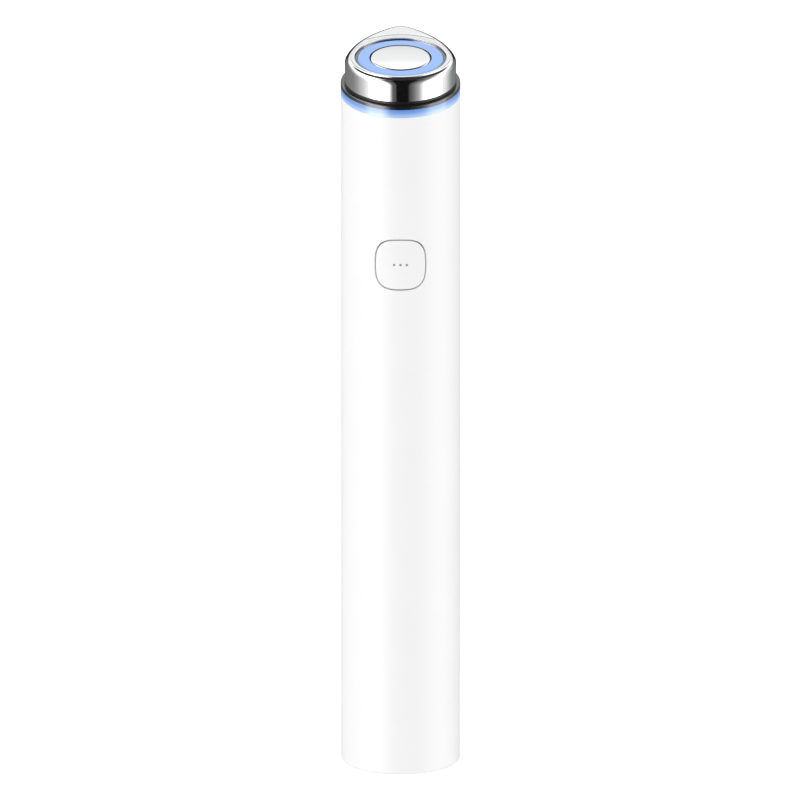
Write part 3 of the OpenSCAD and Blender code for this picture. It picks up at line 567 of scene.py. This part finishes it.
def make_dots():
    """The clear guide behind the button, whose three pins end a hair proud of its face."""
    clear = finish_of("dot_plastic", (0.30, 0.30, 0.31), (0.2, 0.3), mottle=0.06)
    low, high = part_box("button_light_guide")
    half_w = (high.x - low.x) / 2
    half_h = (high.z - low.z) / 2
    corners = ((-half_w, -half_h), (half_w, -half_h), (half_w, half_h), (-half_w, half_h))
    outline = round_corners([(x, z, 0.3 * MM) for x, z in corners])
    depths = (GUIDE_FRONT, GUIDE_FRONT + 0.1 * MM, GUIDE_FRONT + GUIDE_T)
    shapes = [loft([[Vector((p.x, y, BUTTON_Z + p.y)) for p in outline] for y in depths])]
    leg_r, leg_length = 0.45 * MM, high.y - GUIDE_FRONT - GUIDE_T
    leg = lathe([(0, 0), (leg_r, 0), (leg_r, leg_length), (0, leg_length)], 32)
    for across in (-DOT_PITCH, 0, DOT_PITCH):
        reach = TUBE_R * math.cos(across / TUBE_R) - BUTTON_DISH + DOT_PROUD + GUIDE_FRONT
        pin = lathe([(0, 0), (DOT_R, 0), (DOT_R, reach - DOT_EDGE), (DOT_R - DOT_EDGE, reach), (0, reach)],
                    32)
        for shape, depth, turn in ((pin, GUIDE_FRONT, 1), (leg, GUIDE_FRONT + GUIDE_T, -1)):
            laid = Matrix.Rotation(turn * math.pi / 2, 4, "X")
            shapes.append(moved(shape, Matrix.Translation((across, depth, BUTTON_Z)) @ laid))
    return piece("light_dots", together(*shapes), clear, "button", ["button_light_guide"])


# ---- Head ----

FRONT_STEPS, FLANK_STEPS, TIP_STEPS = 150, 22, 34   # mesh steps along the drop's outline
HEAD_STEPS = 200        # mesh columns of the head's round pieces
LINE_R = 11.17 * MM     # the crease line across the tip, measured from the head's axis
LINE_W = 0.1 * MM
LINE_DEPTH = 0.03 * MM
LINE_FADE = 0.4 * MM    # the stretch over which the line starts at either end
LIP_CREASE = 0.05 * MM


def drop_ring(inset, n, flank_r=FLANK_R):
    """The drop's outline, drawn in by inset: front circle, flank, tip circle and flank, all tangent."""
    flank_y = (TIP_Y ** 2 - (flank_r - TIP_R) ** 2 + (flank_r - SHELL_R) ** 2) / (2 * TIP_Y)
    flank_x = math.sqrt((flank_r - SHELL_R) ** 2 - flank_y ** 2)
    shoulder = math.atan2(-flank_y, flank_x)
    neck = math.atan2(TIP_Y - flank_y, flank_x)
    arcs = [
        ((0, 0), SHELL_R, shoulder, -math.pi - shoulder, FRONT_STEPS),
        ((flank_x, flank_y), flank_r, math.pi - shoulder, math.pi - neck, FLANK_STEPS),
        ((0, TIP_Y), TIP_R, math.pi - neck, neck, TIP_STEPS),
        ((-flank_x, flank_y), flank_r, neck, shoulder, FLANK_STEPS)]
    points = []
    for (x, y), r, first, last, steps in arcs:
        for k in range(steps):
            a = first + (last - first) * k / steps
            points.append(Vector((x + (r - inset) * math.cos(a), y + (r - inset) * math.sin(a), n)))
    return points


def toward_circle(outline, r, n, share=1.0):
    """Points from an outline towards a circle, at a height: share 1 is on the circle."""
    points = []
    for p in outline:
        flat = Vector((p.x, p.y, 0))
        at = flat.lerp(flat.normalized() * r, share)
        points.append(Vector((at.x, at.y, n)))
    return points


def drawn_in(outline, r, sink):
    """An outline drawn in to a circle where it lies beyond it, and sunk there."""
    points = []
    for p in outline:
        beyond = math.hypot(p.x, p.y) - r
        if beyond <= 0:
            points.append(p.copy())
            continue
        flat = Vector((p.x, p.y, 0)).normalized() * r
        points.append(Vector((flat.x, flat.y, p.z - sink * min(1, beyond / LINE_FADE))))
    return points


def shell_sides():
    """Rings from the shell's foot up its wall and round its shoulder."""
    foot_round, below_shoulder = 0.08 * MM, 1.2 * MM
    rings = [drop_ring(SHELL_WALL, SHELL_FOOT, STRAIGHT), drop_ring(foot_round, SHELL_FOOT)]
    rings += [drop_ring(foot_round * (1 - s), SHELL_FOOT + foot_round * c) for s, c in arc(3)[1:]]
    rings.append(drop_ring(0, SHELL_TOP - SHELL_ROUND - below_shoulder))
    rings += [drop_ring(SHELL_ROUND * c, SHELL_TOP - SHELL_ROUND * (1 - s)) for s, c in arc(14)]
    return rings


def shell_top():
    """Rings from the shoulder inwards: the crease line on the tip, the flat and the lit ring's lip."""
    edge = drop_ring(SHELL_ROUND, SHELL_TOP)
    across_line = ((LINE_W, 0), (LINE_W / 2, LINE_DEPTH), (-LINE_W / 2, LINE_DEPTH), (-LINE_W, 0))
    rings = [drawn_in(edge, LINE_R + out, sink) for out, sink in across_line]
    edge = rings[-1]
    for share in (0.06, 0.3, 0.65, 0.92, 1):
        rings.append(toward_circle(edge, LIP_R + LIP_CREASE, SHELL_TOP, share))
    rings.append(toward_circle(edge, LIP_R + LIP_CREASE / 2, SHELL_TOP - LIP_CREASE))
    inner = GASKET_R + GASKET_GAP
    crown = [(LIP_R - d * MM, share) for d, share in ((0, 0), (0.005, 0.7), (0.02, 0.9), (0.05, 1), (0.1, 1))]
    crown += [(inner + d * MM, share) for d, share in ((0.1, 1), (0.05, 1), (0.02, 0.9), (0, 0.6))]
    rings += [toward_circle(edge, r, SHELL_TOP + LIP_H * share) for r, share in crown]
    rings += [toward_circle(edge, inner, n) for n in (SHELL_TOP - 0.3 * MM, SHELL_UNDER)]
    return rings


def make_electrode_shell():
    """The chrome shell: a drop-shaped cup, open below and round the lit ring."""
    corner = 0.2 * MM
    under = [drop_ring(SHELL_WALL + corner, SHELL_UNDER, STRAIGHT),
             drop_ring(SHELL_WALL, SHELL_UNDER - corner, STRAIGHT)]
    shape = moved(skin(shell_sides() + shell_top() + under, joined=True), HEAD)
    return piece("electrode_dome", shape, CHROME, replaces=["electrode_shell"])


def slanted_lathe(profile):
    """A closed outline of (radius, height on the head) turned round the tube's axis, on the head's slant."""
    return skin([slanted_ring(r, n, HEAD_STEPS) for r, n in profile], joined=True)


def make_collar():
    """The lit collar on the tube's slanted rim."""
    edge, inner_r = 0.08 * MM, 6.05 * MM
    profile = [(TUBE_R - edge * (1 - s), edge * c) for s, c in arc(3)]
    profile += [(TUBE_R - edge * c, COLLAR_T - edge * (1 - s)) for s, c in arc(3)]
    profile += [(inner_r, COLLAR_T), (inner_r, 0)]
    shape = slanted_lathe(profile)
    piece("lit_collar", shape, COLLAR_GLOW, replaces=["light_collar"])


def make_trim():
    """The glossy black ring on the collar."""
    foot_round, top_round, inner_r = 0.04 * MM, 0.16 * MM, 9.5 * MM
    profile = [(TUBE_R - foot_round * (1 - s), COLLAR_T + foot_round * c) for s, c in arc(2)]
    profile += [(TUBE_R - top_round * c, TRIM_TOP - top_round * (1 - s)) for s, c in arc(6)]
    profile += [(inner_r, TRIM_TOP), (inner_r, COLLAR_T)]
    piece("bright_trim", slanted_lathe(profile), TRIM, replaces=["trim_ring"])


def make_core():
    """The head's black core: a band above the trim, a plate under the chrome and a wall under the lit ring."""
    spigot_r, hole, edge = 9.4 * MM, 1.7 * MM, 0.1 * MM
    band = round_corners([(hole, COLLAR_T, 0), (spigot_r, COLLAR_T, 0), (spigot_r, TRIM_TOP, 0),
                          (INSULATOR_R, TRIM_TOP, edge), (INSULATOR_R, SHELL_FOOT, edge),
                          (hole, SHELL_FOOT, 0)], 3)
    plate_low, plate_top, plate_gap = SHELL_FOOT + 0.002 * MM, SHELL_FOOT + 0.9 * MM, 0.05 * MM
    plate = [drop_ring(SHELL_WALL + plate_gap, n, STRAIGHT) for n in (plate_low, plate_top)]
    wall_in, wall_out, wall_low = 8.68 * MM, 10.1 * MM, plate_top - 0.1 * MM
    wall = [(wall_in, wall_low), (wall_out, wall_low), (wall_out, WINDOW_SEAT), (wall_in, WINDOW_SEAT)]
    core = together(lathe(band), loft(plate), lathe(wall, 96))
    piece("black_core", moved(core, HEAD), BLACK, replaces=["head_core"])


def make_window():
    """The lit ring, with the flange that the chrome shell holds down."""
    outline = round_corners([
        (RING_HOLE_R, WINDOW_SEAT, 0), (WINDOW_FLANGE_R, WINDOW_SEAT, 0), (WINDOW_FLANGE_R, SHELL_UNDER, 0),
        (RING_R, SHELL_UNDER, 0), (RING_R, RING_TOP, 0.1 * MM), (RING_HOLE_R, RING_TOP, 0.05 * MM)], 4)
    shape = moved(lathe(outline, HEAD_STEPS), HEAD)
    piece("lit_window", shape, RING_GLOW, replaces=["ring_window"])


def make_gasket():
    """The dark ring between the lit ring and the chrome."""
    inner_r, edge = GASKET_R - GASKET_W, 0.08 * MM
    outline = round_corners([(inner_r, SHELL_UNDER, 0), (GASKET_R, SHELL_UNDER, 0),
                             (GASKET_R, GASKET_TOP, edge), (inner_r, GASKET_TOP, edge)], 4)
    shape = moved(lathe(outline, HEAD_STEPS), HEAD)
    piece("dark_gasket", shape, GASKET, replaces=["window_gasket"])


def make_disc():
    """The centre electrode: a domed disc on a neck, with a thin black ring round it that paints the shadow in the
    gap.
    """
    inner_r, outer_r, top = DISC_R + GAP_SHADE_CLEARANCE, RING_HOLE_R - GAP_SHADE_CLEARANCE, RING_TOP + 0.01 * MM
    # Painted shade: a black ring stands where the gap round the disc is only in shadow.
    gap_shade = [(inner_r, WINDOW_SEAT), (outer_r, WINDOW_SEAT), (outer_r, top), (inner_r, top)]
    piece("disc_gap_shade", moved(lathe(gap_shade, HEAD_STEPS), HEAD), BLACK)

    dome, edge, dome_steps = 0.1 * MM, 0.42 * MM, 10
    profile = [(0, WINDOW_SEAT), (DISC_R, WINDOW_SEAT)]
    profile += [(DISC_R - edge * c, DISC_TOP - dome - edge * (1 - s)) for s, c in arc(9)]
    for k in range(dome_steps - 1, -1, -1):
        share = k / dome_steps
        profile.append(((DISC_R - edge) * share, DISC_TOP - dome * share ** 2))
    hole, neck_r = 0.8 * MM, 3 * MM
    neck = [(hole, BOARD_TOP), (neck_r, BOARD_TOP), (neck_r, WINDOW_SEAT), (hole, WINDOW_SEAT)]
    disc = together(lathe(profile, HEAD_STEPS), lathe(neck, 64))
    piece("centre_disc", moved(disc, HEAD), CHROME, replaces=["centre_electrode"])


# ---- Base ----

BASE_STEPS = 160        # mesh columns of the base's pieces


def stadium_ring(w, h, z):
    """A ring of two half circles and two straights, at a height."""
    ring = []
    straight = (w - h) / 2
    for a in turns(BASE_STEPS):
        way = Vector((math.sin(a), -math.cos(a)))
        reach = (h / 2) / max(abs(way.y), 1e-9)
        if abs(way.x * reach) > straight:
            along = straight * abs(way.x)
            reach = along + math.sqrt(max(along ** 2 - straight ** 2 + (h / 2) ** 2, 0))
        ring.append(Vector((way.x * reach, way.y * reach, z)))
    return ring


def make_base_plug():
    """The plug in the tube's foot, with the socket's slot, a skirt and two posts."""
    slot_w, slot_h, edge = 9.28 * MM, 3.5 * MM, 0.12 * MM
    cap = [circle_ring(CAP_R, CAP_T, BASE_STEPS)]
    cap += [circle_ring(CAP_R - edge * c, edge * (1 - s), BASE_STEPS) for s, c in arc(4)]
    for s, c in arc(4):
        wider = 2 * edge * (1 - s)
        cap.append(stadium_ring(slot_w + wider, slot_h + wider, edge * c))
    cap.append(stadium_ring(slot_w, slot_h, CAP_T))
    skirt_r, skirt_top = BORE_R - 0.05 * MM, 5 * MM
    skirt_in = skirt_r - 1.75 * MM
    skirt = [(skirt_in, CAP_T), (skirt_r, CAP_T), (skirt_r, skirt_top), (skirt_in, skirt_top)]
    post_r, bore_r, post_y, post_top = 1.4 * MM, 0.5 * MM, 6.3 * MM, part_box("end_cap")[1].z
    post = lathe([(bore_r, CAP_T), (post_r, CAP_T), (post_r, post_top), (bore_r, post_top)], 40)
    posts = [moved(post, Matrix.Translation((0, side * post_y, 0))) for side in (-1, 1)]
    shape = together(skin(cap, joined=True), lathe(skirt, BASE_STEPS), *posts)
    piece("base_plug", shape, WHITE, replaces=["end_cap"])


def make_socket():
    """The socket's folded steel shell, with a rounded mouth."""
    steel = finish_of("socket_steel", (0.62, 0.63, 0.64), (0.2, 0.32), metal=1, grain=4000, stretch=BRUSHED)
    low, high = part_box("usb_shell")
    out_w, out_h, sheet = high.x - low.x, high.y - low.y, 0.3 * MM
    mouth = [stadium_ring(out_w, out_h, high.z)]
    for s, c in arc(4):
        mouth.append(stadium_ring(out_w - sheet * c, out_h - sheet * c, low.z + sheet / 2 * (1 - s)))
    for z in (low.z + sheet / 2, high.z):
        mouth.append(stadium_ring(out_w - 2 * sheet, out_h - 2 * sheet, z))
    piece("socket_shell", skin(mouth, joined=True), steel, replaces=["usb_shell"])


def make_contacts():
    """The gold contacts on both faces of the socket's tongue."""
    gold = finish_of("contact_gold", (0.83, 0.62, 0.25), (0.2, 0.3), metal=1)
    count, pitch, tongue_t = 12, 0.5 * MM, 0.7 * MM
    pad_w, pad_h, pad_t = 0.3 * MM, 2.6 * MM, 0.03 * MM
    low_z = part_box("usb_tongue")[0].z + 0.4 * MM
    pads = []
    for side in (-1, 1):
        depths = (side * (tongue_t / 2 - pad_t), side * (tongue_t / 2 + pad_t))
        for i in range(count):
            left = (i - (count - 1) / 2) * pitch - pad_w / 2
            right = left + pad_w
            outline = [(left, low_z), (right, low_z), (right, low_z + pad_h), (left, low_z + pad_h)]
            pads.append(loft([[Vector((x, y, z)) for x, z in outline] for y in depths]))
    piece("socket_contacts", together(*pads), gold)


# ---- The carried-over pieces ----


def dress_inside():
    """Gives each CAD node that stays its own material."""
    looks = {
        "grey_plastic": finish_of("frame_plastic", (0.62, 0.63, 0.64), (0.4, 0.55)),
        "black_plastic": BLACK,
        "white_plastic": WHITE,
        "white_reflector": finish_of("reflector_white", (0.9, 0.9, 0.9), (0.25, 0.35), mottle=0.02),
        "bright_steel": finish_of("bright_steel", (0.6, 0.61, 0.62), (0.22, 0.34), metal=1, grain=5000),
        "screw_steel": finish_of("screw_steel", (0.42, 0.42, 0.43), (0.25, 0.4), metal=1, grain=7000),
        "contact_gold": finish_of("spring_gold", (0.83, 0.62, 0.25), (0.2, 0.32), metal=1),
        "circuit_board": finish_of("circuit_board", (0.012, 0.11, 0.05), (0.28, 0.42), grain=2500,
                                   mottle=0.25),
        "chip_black": finish_of("chip_black", (0.02, 0.02, 0.022), (0.45, 0.6), mottle=0.15),
        "component_tan": finish_of("component_tan", (0.42, 0.3, 0.18), (0.35, 0.5), mottle=0.12),
        "lamp": finish_of("lamp_lens", (0.8, 0.84, 0.88), (0.12, 0.2), mottle=0.03, coat=0.5),
        "cell_wrap": finish_of("cell_wrap", (0.03, 0.14, 0.32), (0.25, 0.38), grain=1800, mottle=0.08),
        "foam": finish_of("foam", (0.03, 0.03, 0.03), (0.8, 0.95), grain=3500, mottle=0.4, bump_height=3e-5),
        "seal_rubber": finish_of("seal_rubber", (0.04, 0.04, 0.042), (0.5, 0.65), mottle=0.15),
        "lead_insulation": finish_of("lead_insulation", (0.4, 0.03, 0.03), (0.35, 0.5), mottle=0.1),
        "flex_orange": finish_of("flex_film", (0.5, 0.2, 0.03), (0.2, 0.3), grain=2500, mottle=0.15),
        "motor_steel": finish_of("motor_steel", (0.5, 0.51, 0.52), (0.25, 0.38), metal=1, grain=4000,
                                 stretch=BRUSHED),
        "weight_alloy": finish_of("weight_alloy", (0.22, 0.22, 0.23), (0.4, 0.55), metal=1, grain=3000,
                                  mottle=0.15),
    }
    slots = {row["node"]: row["material_slot"] for row in frame["record"]["subparts"]}
    for name, node in frame["nodes"].items():
        look = looks.get(slots[name])
        if look:
            node.data.materials.clear()
            node.data.materials.append(look)


# ---- Studio ----

FLOOR_R = 3.0
FLOOR_Z = -0.02 * MM    # just clear of the base
FLOOR_GLOW = 0.35
PLAIN_STRENGTH = 1.32   # of the even white that all but mirrors and the camera see
WHITE_STRENGTH = 1.1    # of the white that the camera sees
NEARLY_WHITE = 0.95
SOFTBOX_GAIN = 45       # strength gained for each step above nearly white
CEILING_LEAN = 16.5     # degrees back from straight up
CEILING_SIZE = 32.5     # degrees from its middle to its edge
CEILING_GREY = 0.03
LAMP_AWAY = 2.0
LAMP_SIZE = 1.2
LAMP_AIM = Vector((0, 0, 75 * MM))

# What mirrors see, as (degrees, grey). The walls go round from the front: a tall softbox at the left and one at
# the right, with a dark gap between them. The gap widens upwards, where their degrees are multiplied by less
WALLS = [(-180, 0.2), (-140, 0.2), (-118, 0.24), (-106, 0.35), (-95, 0.55), (-87, 0.68), (-78, 0.94),
         (-60, 1), (-36, 1), (-24, 0.95), (-18, 0.14), (-9.5, 0.07), (-8.5, 0.006), (17.5, 0.006),
         (19, 0.045), (30, 0.17), (42, 0.42), (50, 0.95), (62, 0.98), (94, 0.98), (108, 0.93),
         (118, 0.66), (127, 0.4), (138, 0.24), (180, 0.2)]
WALLS_NARROWING = [(-90, 1), (0, 1), (50, 0.45), (90, 0.3)]
# Behind, the sky is dark low down and brightens upwards. It takes the walls' place by both shares
LOW_SKY = [(0, 0.19), (148, 0.19), (160, 0.015), (180, 0.015)]
HIGH_SKY = [(0, 0.6), (28, 0.7), (30.5, 0.86), (33, 0.93), (34.6, 0.951), (37, 0.955), (90, 0.955)]
HIGH_SKY_SHARE = [(0, 0), (25, 0), (30, 1), (90, 1)]
SKY_SHARE_BEHIND = [(0, 0), (100, 0), (140, 1), (180, 1)]
SKY_SHARE_UPWARDS = [(-90, 0), (-16, 0), (-11, 1), (90, 1)]
OPEN_SHARE = [(0, 0), (CEILING_SIZE - 3, 0), (CEILING_SIZE + 2, 1), (90, 1)]
# The even white, by rise in degrees and by the direction's share to the right
PLAIN_BY_RISE = [(-90, 0.8), (-15, 0.82), (40, 1), (90, 1)]
PLAIN_BY_SIDE = [(-1, 1), (-0.6, 0.95), (0, 0.71), (1, 0.95)]


def math_node(tree, operation, first, second=None):
    """The result of an operation on sockets or numbers."""
    node = tree.nodes.new("ShaderNodeMath")
    node.operation = operation
    for socket, value in zip(node.inputs, (first, second)):
        if isinstance(value, (int, float)):
            socket.default_value = value
        elif value is not None:
            tree.links.new(value, socket)
    return node.outputs[0]


def in_degrees(tree, operation, *sides):
    """An angle from an inverse function, in degrees."""
    return math_node(tree, "MULTIPLY", math_node(tree, operation, *sides), 180 / math.pi)


def grey_ramp(tree, value, stops):
    """Grey levels along a value, as (value, grey) stops from its least to its most."""
    low, high = stops[0][0], stops[-1][0]
    share = spread(tree, value, 0, 1, low, high)
    return ramp(tree, share, [((at - low) / (high - low), (grey, grey, grey)) for at, grey in stops])


def mix_colours(tree, share, first, second):
    """A mix of two colours by a share of the second."""
    node = tree.nodes.new("ShaderNodeMix")
    node.data_type = "RGBA"
    for name, value in (("Factor", share), ("A", first), ("B", second)):
        tree.links.new(value, node.inputs[name])
    return node.outputs["Result"]


def mix_shaders(tree, share, first, second):
    """A mix of two shaders by a share of the second."""
    node = tree.nodes.new("ShaderNodeMixShader")
    for socket, value in zip(node.inputs, (share, first, second)):
        tree.links.new(value, socket)
    return node.outputs[0]


def background(tree, colour, strength):
    """A world shader with a colour and a strength from sockets."""
    node = tree.nodes.new("ShaderNodeBackground")
    tree.links.new(colour, node.inputs["Color"])
    tree.links.new(strength, node.inputs["Strength"])
    return node.outputs[0]


def make_camera():
    """Looks along +Y at the wand, with the photograph's scale."""
    data = bpy.data.cameras.new("camera")
    data.sensor_width = SENSOR
    data.lens = SENSOR * CAMERA_AWAY * PIXELS_PER_M / PHOTO_WIDTH
    away = Vector((0, -math.cos(CAMERA_RISE), math.sin(CAMERA_RISE))) * CAMERA_AWAY
    camera = bpy.data.objects.new("camera", data)
    camera.location = CAMERA_TARGET + away
    camera.rotation_euler = (math.pi / 2 - CAMERA_RISE, 0, 0)
    bpy.context.scene.collection.objects.link(camera)
    bpy.context.scene.camera = camera


def make_floor():
    """A plain white floor, bright enough to wash out all but the nearest shadow. It is clear from below."""
    mesh = bpy.data.meshes.new("floor")
    mesh.from_pydata([tuple(p) for p in circle_ring(FLOOR_R, FLOOR_Z, 96)], [], [tuple(range(96))])
    floor = bpy.data.objects.new("floor", mesh)
    bpy.context.scene.collection.objects.link(floor)
    made, tree, shader = material("floor_white")
    colour = ramp(tree, noise(tree, 3, 2), [(0.3, (0.9, 0.9, 0.9)), (0.7, (0.92, 0.92, 0.92))])
    tree.links.new(colour, shader.inputs["Base Color"])
    shader.inputs["Roughness"].default_value = 0.8
    shader.inputs["Specular IOR Level"].default_value = 0.1
    shader.inputs["Emission Color"].default_value = (1, 1, 1, 1)
    shader.inputs["Emission Strength"].default_value = FLOOR_GLOW
    clear = tree.nodes.new("ShaderNodeBsdfTransparent")
    underside = tree.nodes.new("ShaderNodeNewGeometry").outputs["Backfacing"]
    sided = mix_shaders(tree, underside, shader.outputs[0], clear.outputs[0])
    tree.links.new(sided, tree.nodes["Material Output"].inputs[0])
    mesh.materials.append(made)
    floor.visible_glossy = False
    floor.visible_diffuse = False
    floor.visible_shadow = False


def studio_colour(tree, direction, around, rise):
    """What a mirror sees in a direction."""
    narrowed = math_node(tree, "MULTIPLY", around, grey_ramp(tree, rise, WALLS_NARROWING))
    off_front = math_node(tree, "ABSOLUTE", around)
    low_sky, high_sky = grey_ramp(tree, off_front, LOW_SKY), grey_ramp(tree, rise, HIGH_SKY)
    sky = mix_colours(tree, grey_ramp(tree, rise, HIGH_SKY_SHARE), low_sky, high_sky)
    behind, upwards = grey_ramp(tree, off_front, SKY_SHARE_BEHIND), grey_ramp(tree, rise, SKY_SHARE_UPWARDS)
    sky_share = math_node(tree, "MULTIPLY", behind, upwards)
    round_about = mix_colours(tree, sky_share, grey_ramp(tree, narrowed, WALLS), sky)
    lean = math.radians(CEILING_LEAN)
    along = tree.nodes.new("ShaderNodeVectorMath")
    along.operation = "DOT_PRODUCT"
    along.inputs[1].default_value = (0, math.sin(lean), math.cos(lean))
    tree.links.new(direction, along.inputs[0])
    off_ceiling = in_degrees(tree, "ARCCOSINE", along.outputs["Value"])
    ceiling = grey_ramp(tree, off_ceiling, [(0, CEILING_GREY), (90, CEILING_GREY)])
    return mix_colours(tree, grey_ramp(tree, off_ceiling, OPEN_SHARE), ceiling, round_about)


def make_world():
    """A white studio. Mirrors see its softboxes and dark gaps, the camera sees white, and the rest even white."""
    world = bpy.data.worlds.new("studio")
    bpy.context.scene.world = world
    world.use_nodes = True
    tree = world.node_tree
    tree.nodes.clear()
    direction = tree.nodes.new("ShaderNodeTexCoord").outputs["Generated"]
    way = tree.nodes.new("ShaderNodeSeparateXYZ")
    tree.links.new(direction, way.inputs[0])
    front = math_node(tree, "MULTIPLY", way.outputs["Y"], -1)
    around = in_degrees(tree, "ARCTAN2", way.outputs["X"], front)
    rise = in_degrees(tree, "ARCSINE", way.outputs["Z"])

    # A softbox is many times brighter than white paper
    studio = studio_colour(tree, direction, around, rise)
    over_white = math_node(tree, "MAXIMUM", math_node(tree, "SUBTRACT", studio, NEARLY_WHITE), 0)
    strength = math_node(tree, "ADD", math_node(tree, "MULTIPLY", over_white, SOFTBOX_GAIN), 1)
    boxes = background(tree, studio, strength)
    level = math_node(tree, "MULTIPLY", grey_ramp(tree, rise, PLAIN_BY_RISE), PLAIN_STRENGTH)
    plain = background(tree, grey_ramp(tree, way.outputs["X"], PLAIN_BY_SIDE), level)
    white = tree.nodes.new("ShaderNodeBackground")
    white.inputs["Strength"].default_value = WHITE_STRENGTH
    white.inputs["Color"].default_value = (1, 1, 1, 1)

    path = tree.nodes.new("ShaderNodeLightPath")
    seen = mix_shaders(tree, path.outputs["Is Glossy Ray"], plain, boxes)
    final = mix_shaders(tree, path.outputs["Is Camera Ray"], seen, white.outputs[0])
    output = tree.nodes.new("ShaderNodeOutputWorld")
    tree.links.new(final, output.inputs[0])


def make_lights():
    """A large soft key from the left front, and a weaker one from the right behind."""
    for name, azimuth, rise, watts in (("key", -52, 38, 1.5), ("fill", 120, 30, 0.5)):
        data = bpy.data.lights.new(name, "AREA")
        data.energy = watts
        data.size = LAMP_SIZE
        a, e = math.radians(azimuth), math.radians(rise)
        away = Vector((math.sin(a) * math.cos(e), -math.cos(a) * math.cos(e), math.sin(e))) * LAMP_AWAY
        lamp = bpy.data.objects.new(name, data)
        lamp.location = LAMP_AIM + away
        lamp.rotation_euler = (-away).to_track_quat("-Z", "Y").to_euler()
        lamp.visible_glossy = False
        bpy.context.scene.collection.objects.link(lamp)


make_camera()
make_floor()
make_world()
make_lights()
make_tube()
make_button()
make_dots()
make_electrode_shell()
make_collar()
make_trim()
make_core()
make_window()
make_gasket()
make_disc()
make_base_plug()
make_socket()
make_contacts()
dress_inside()
bpy.context.scene.view_settings.view_transform = "Standard"
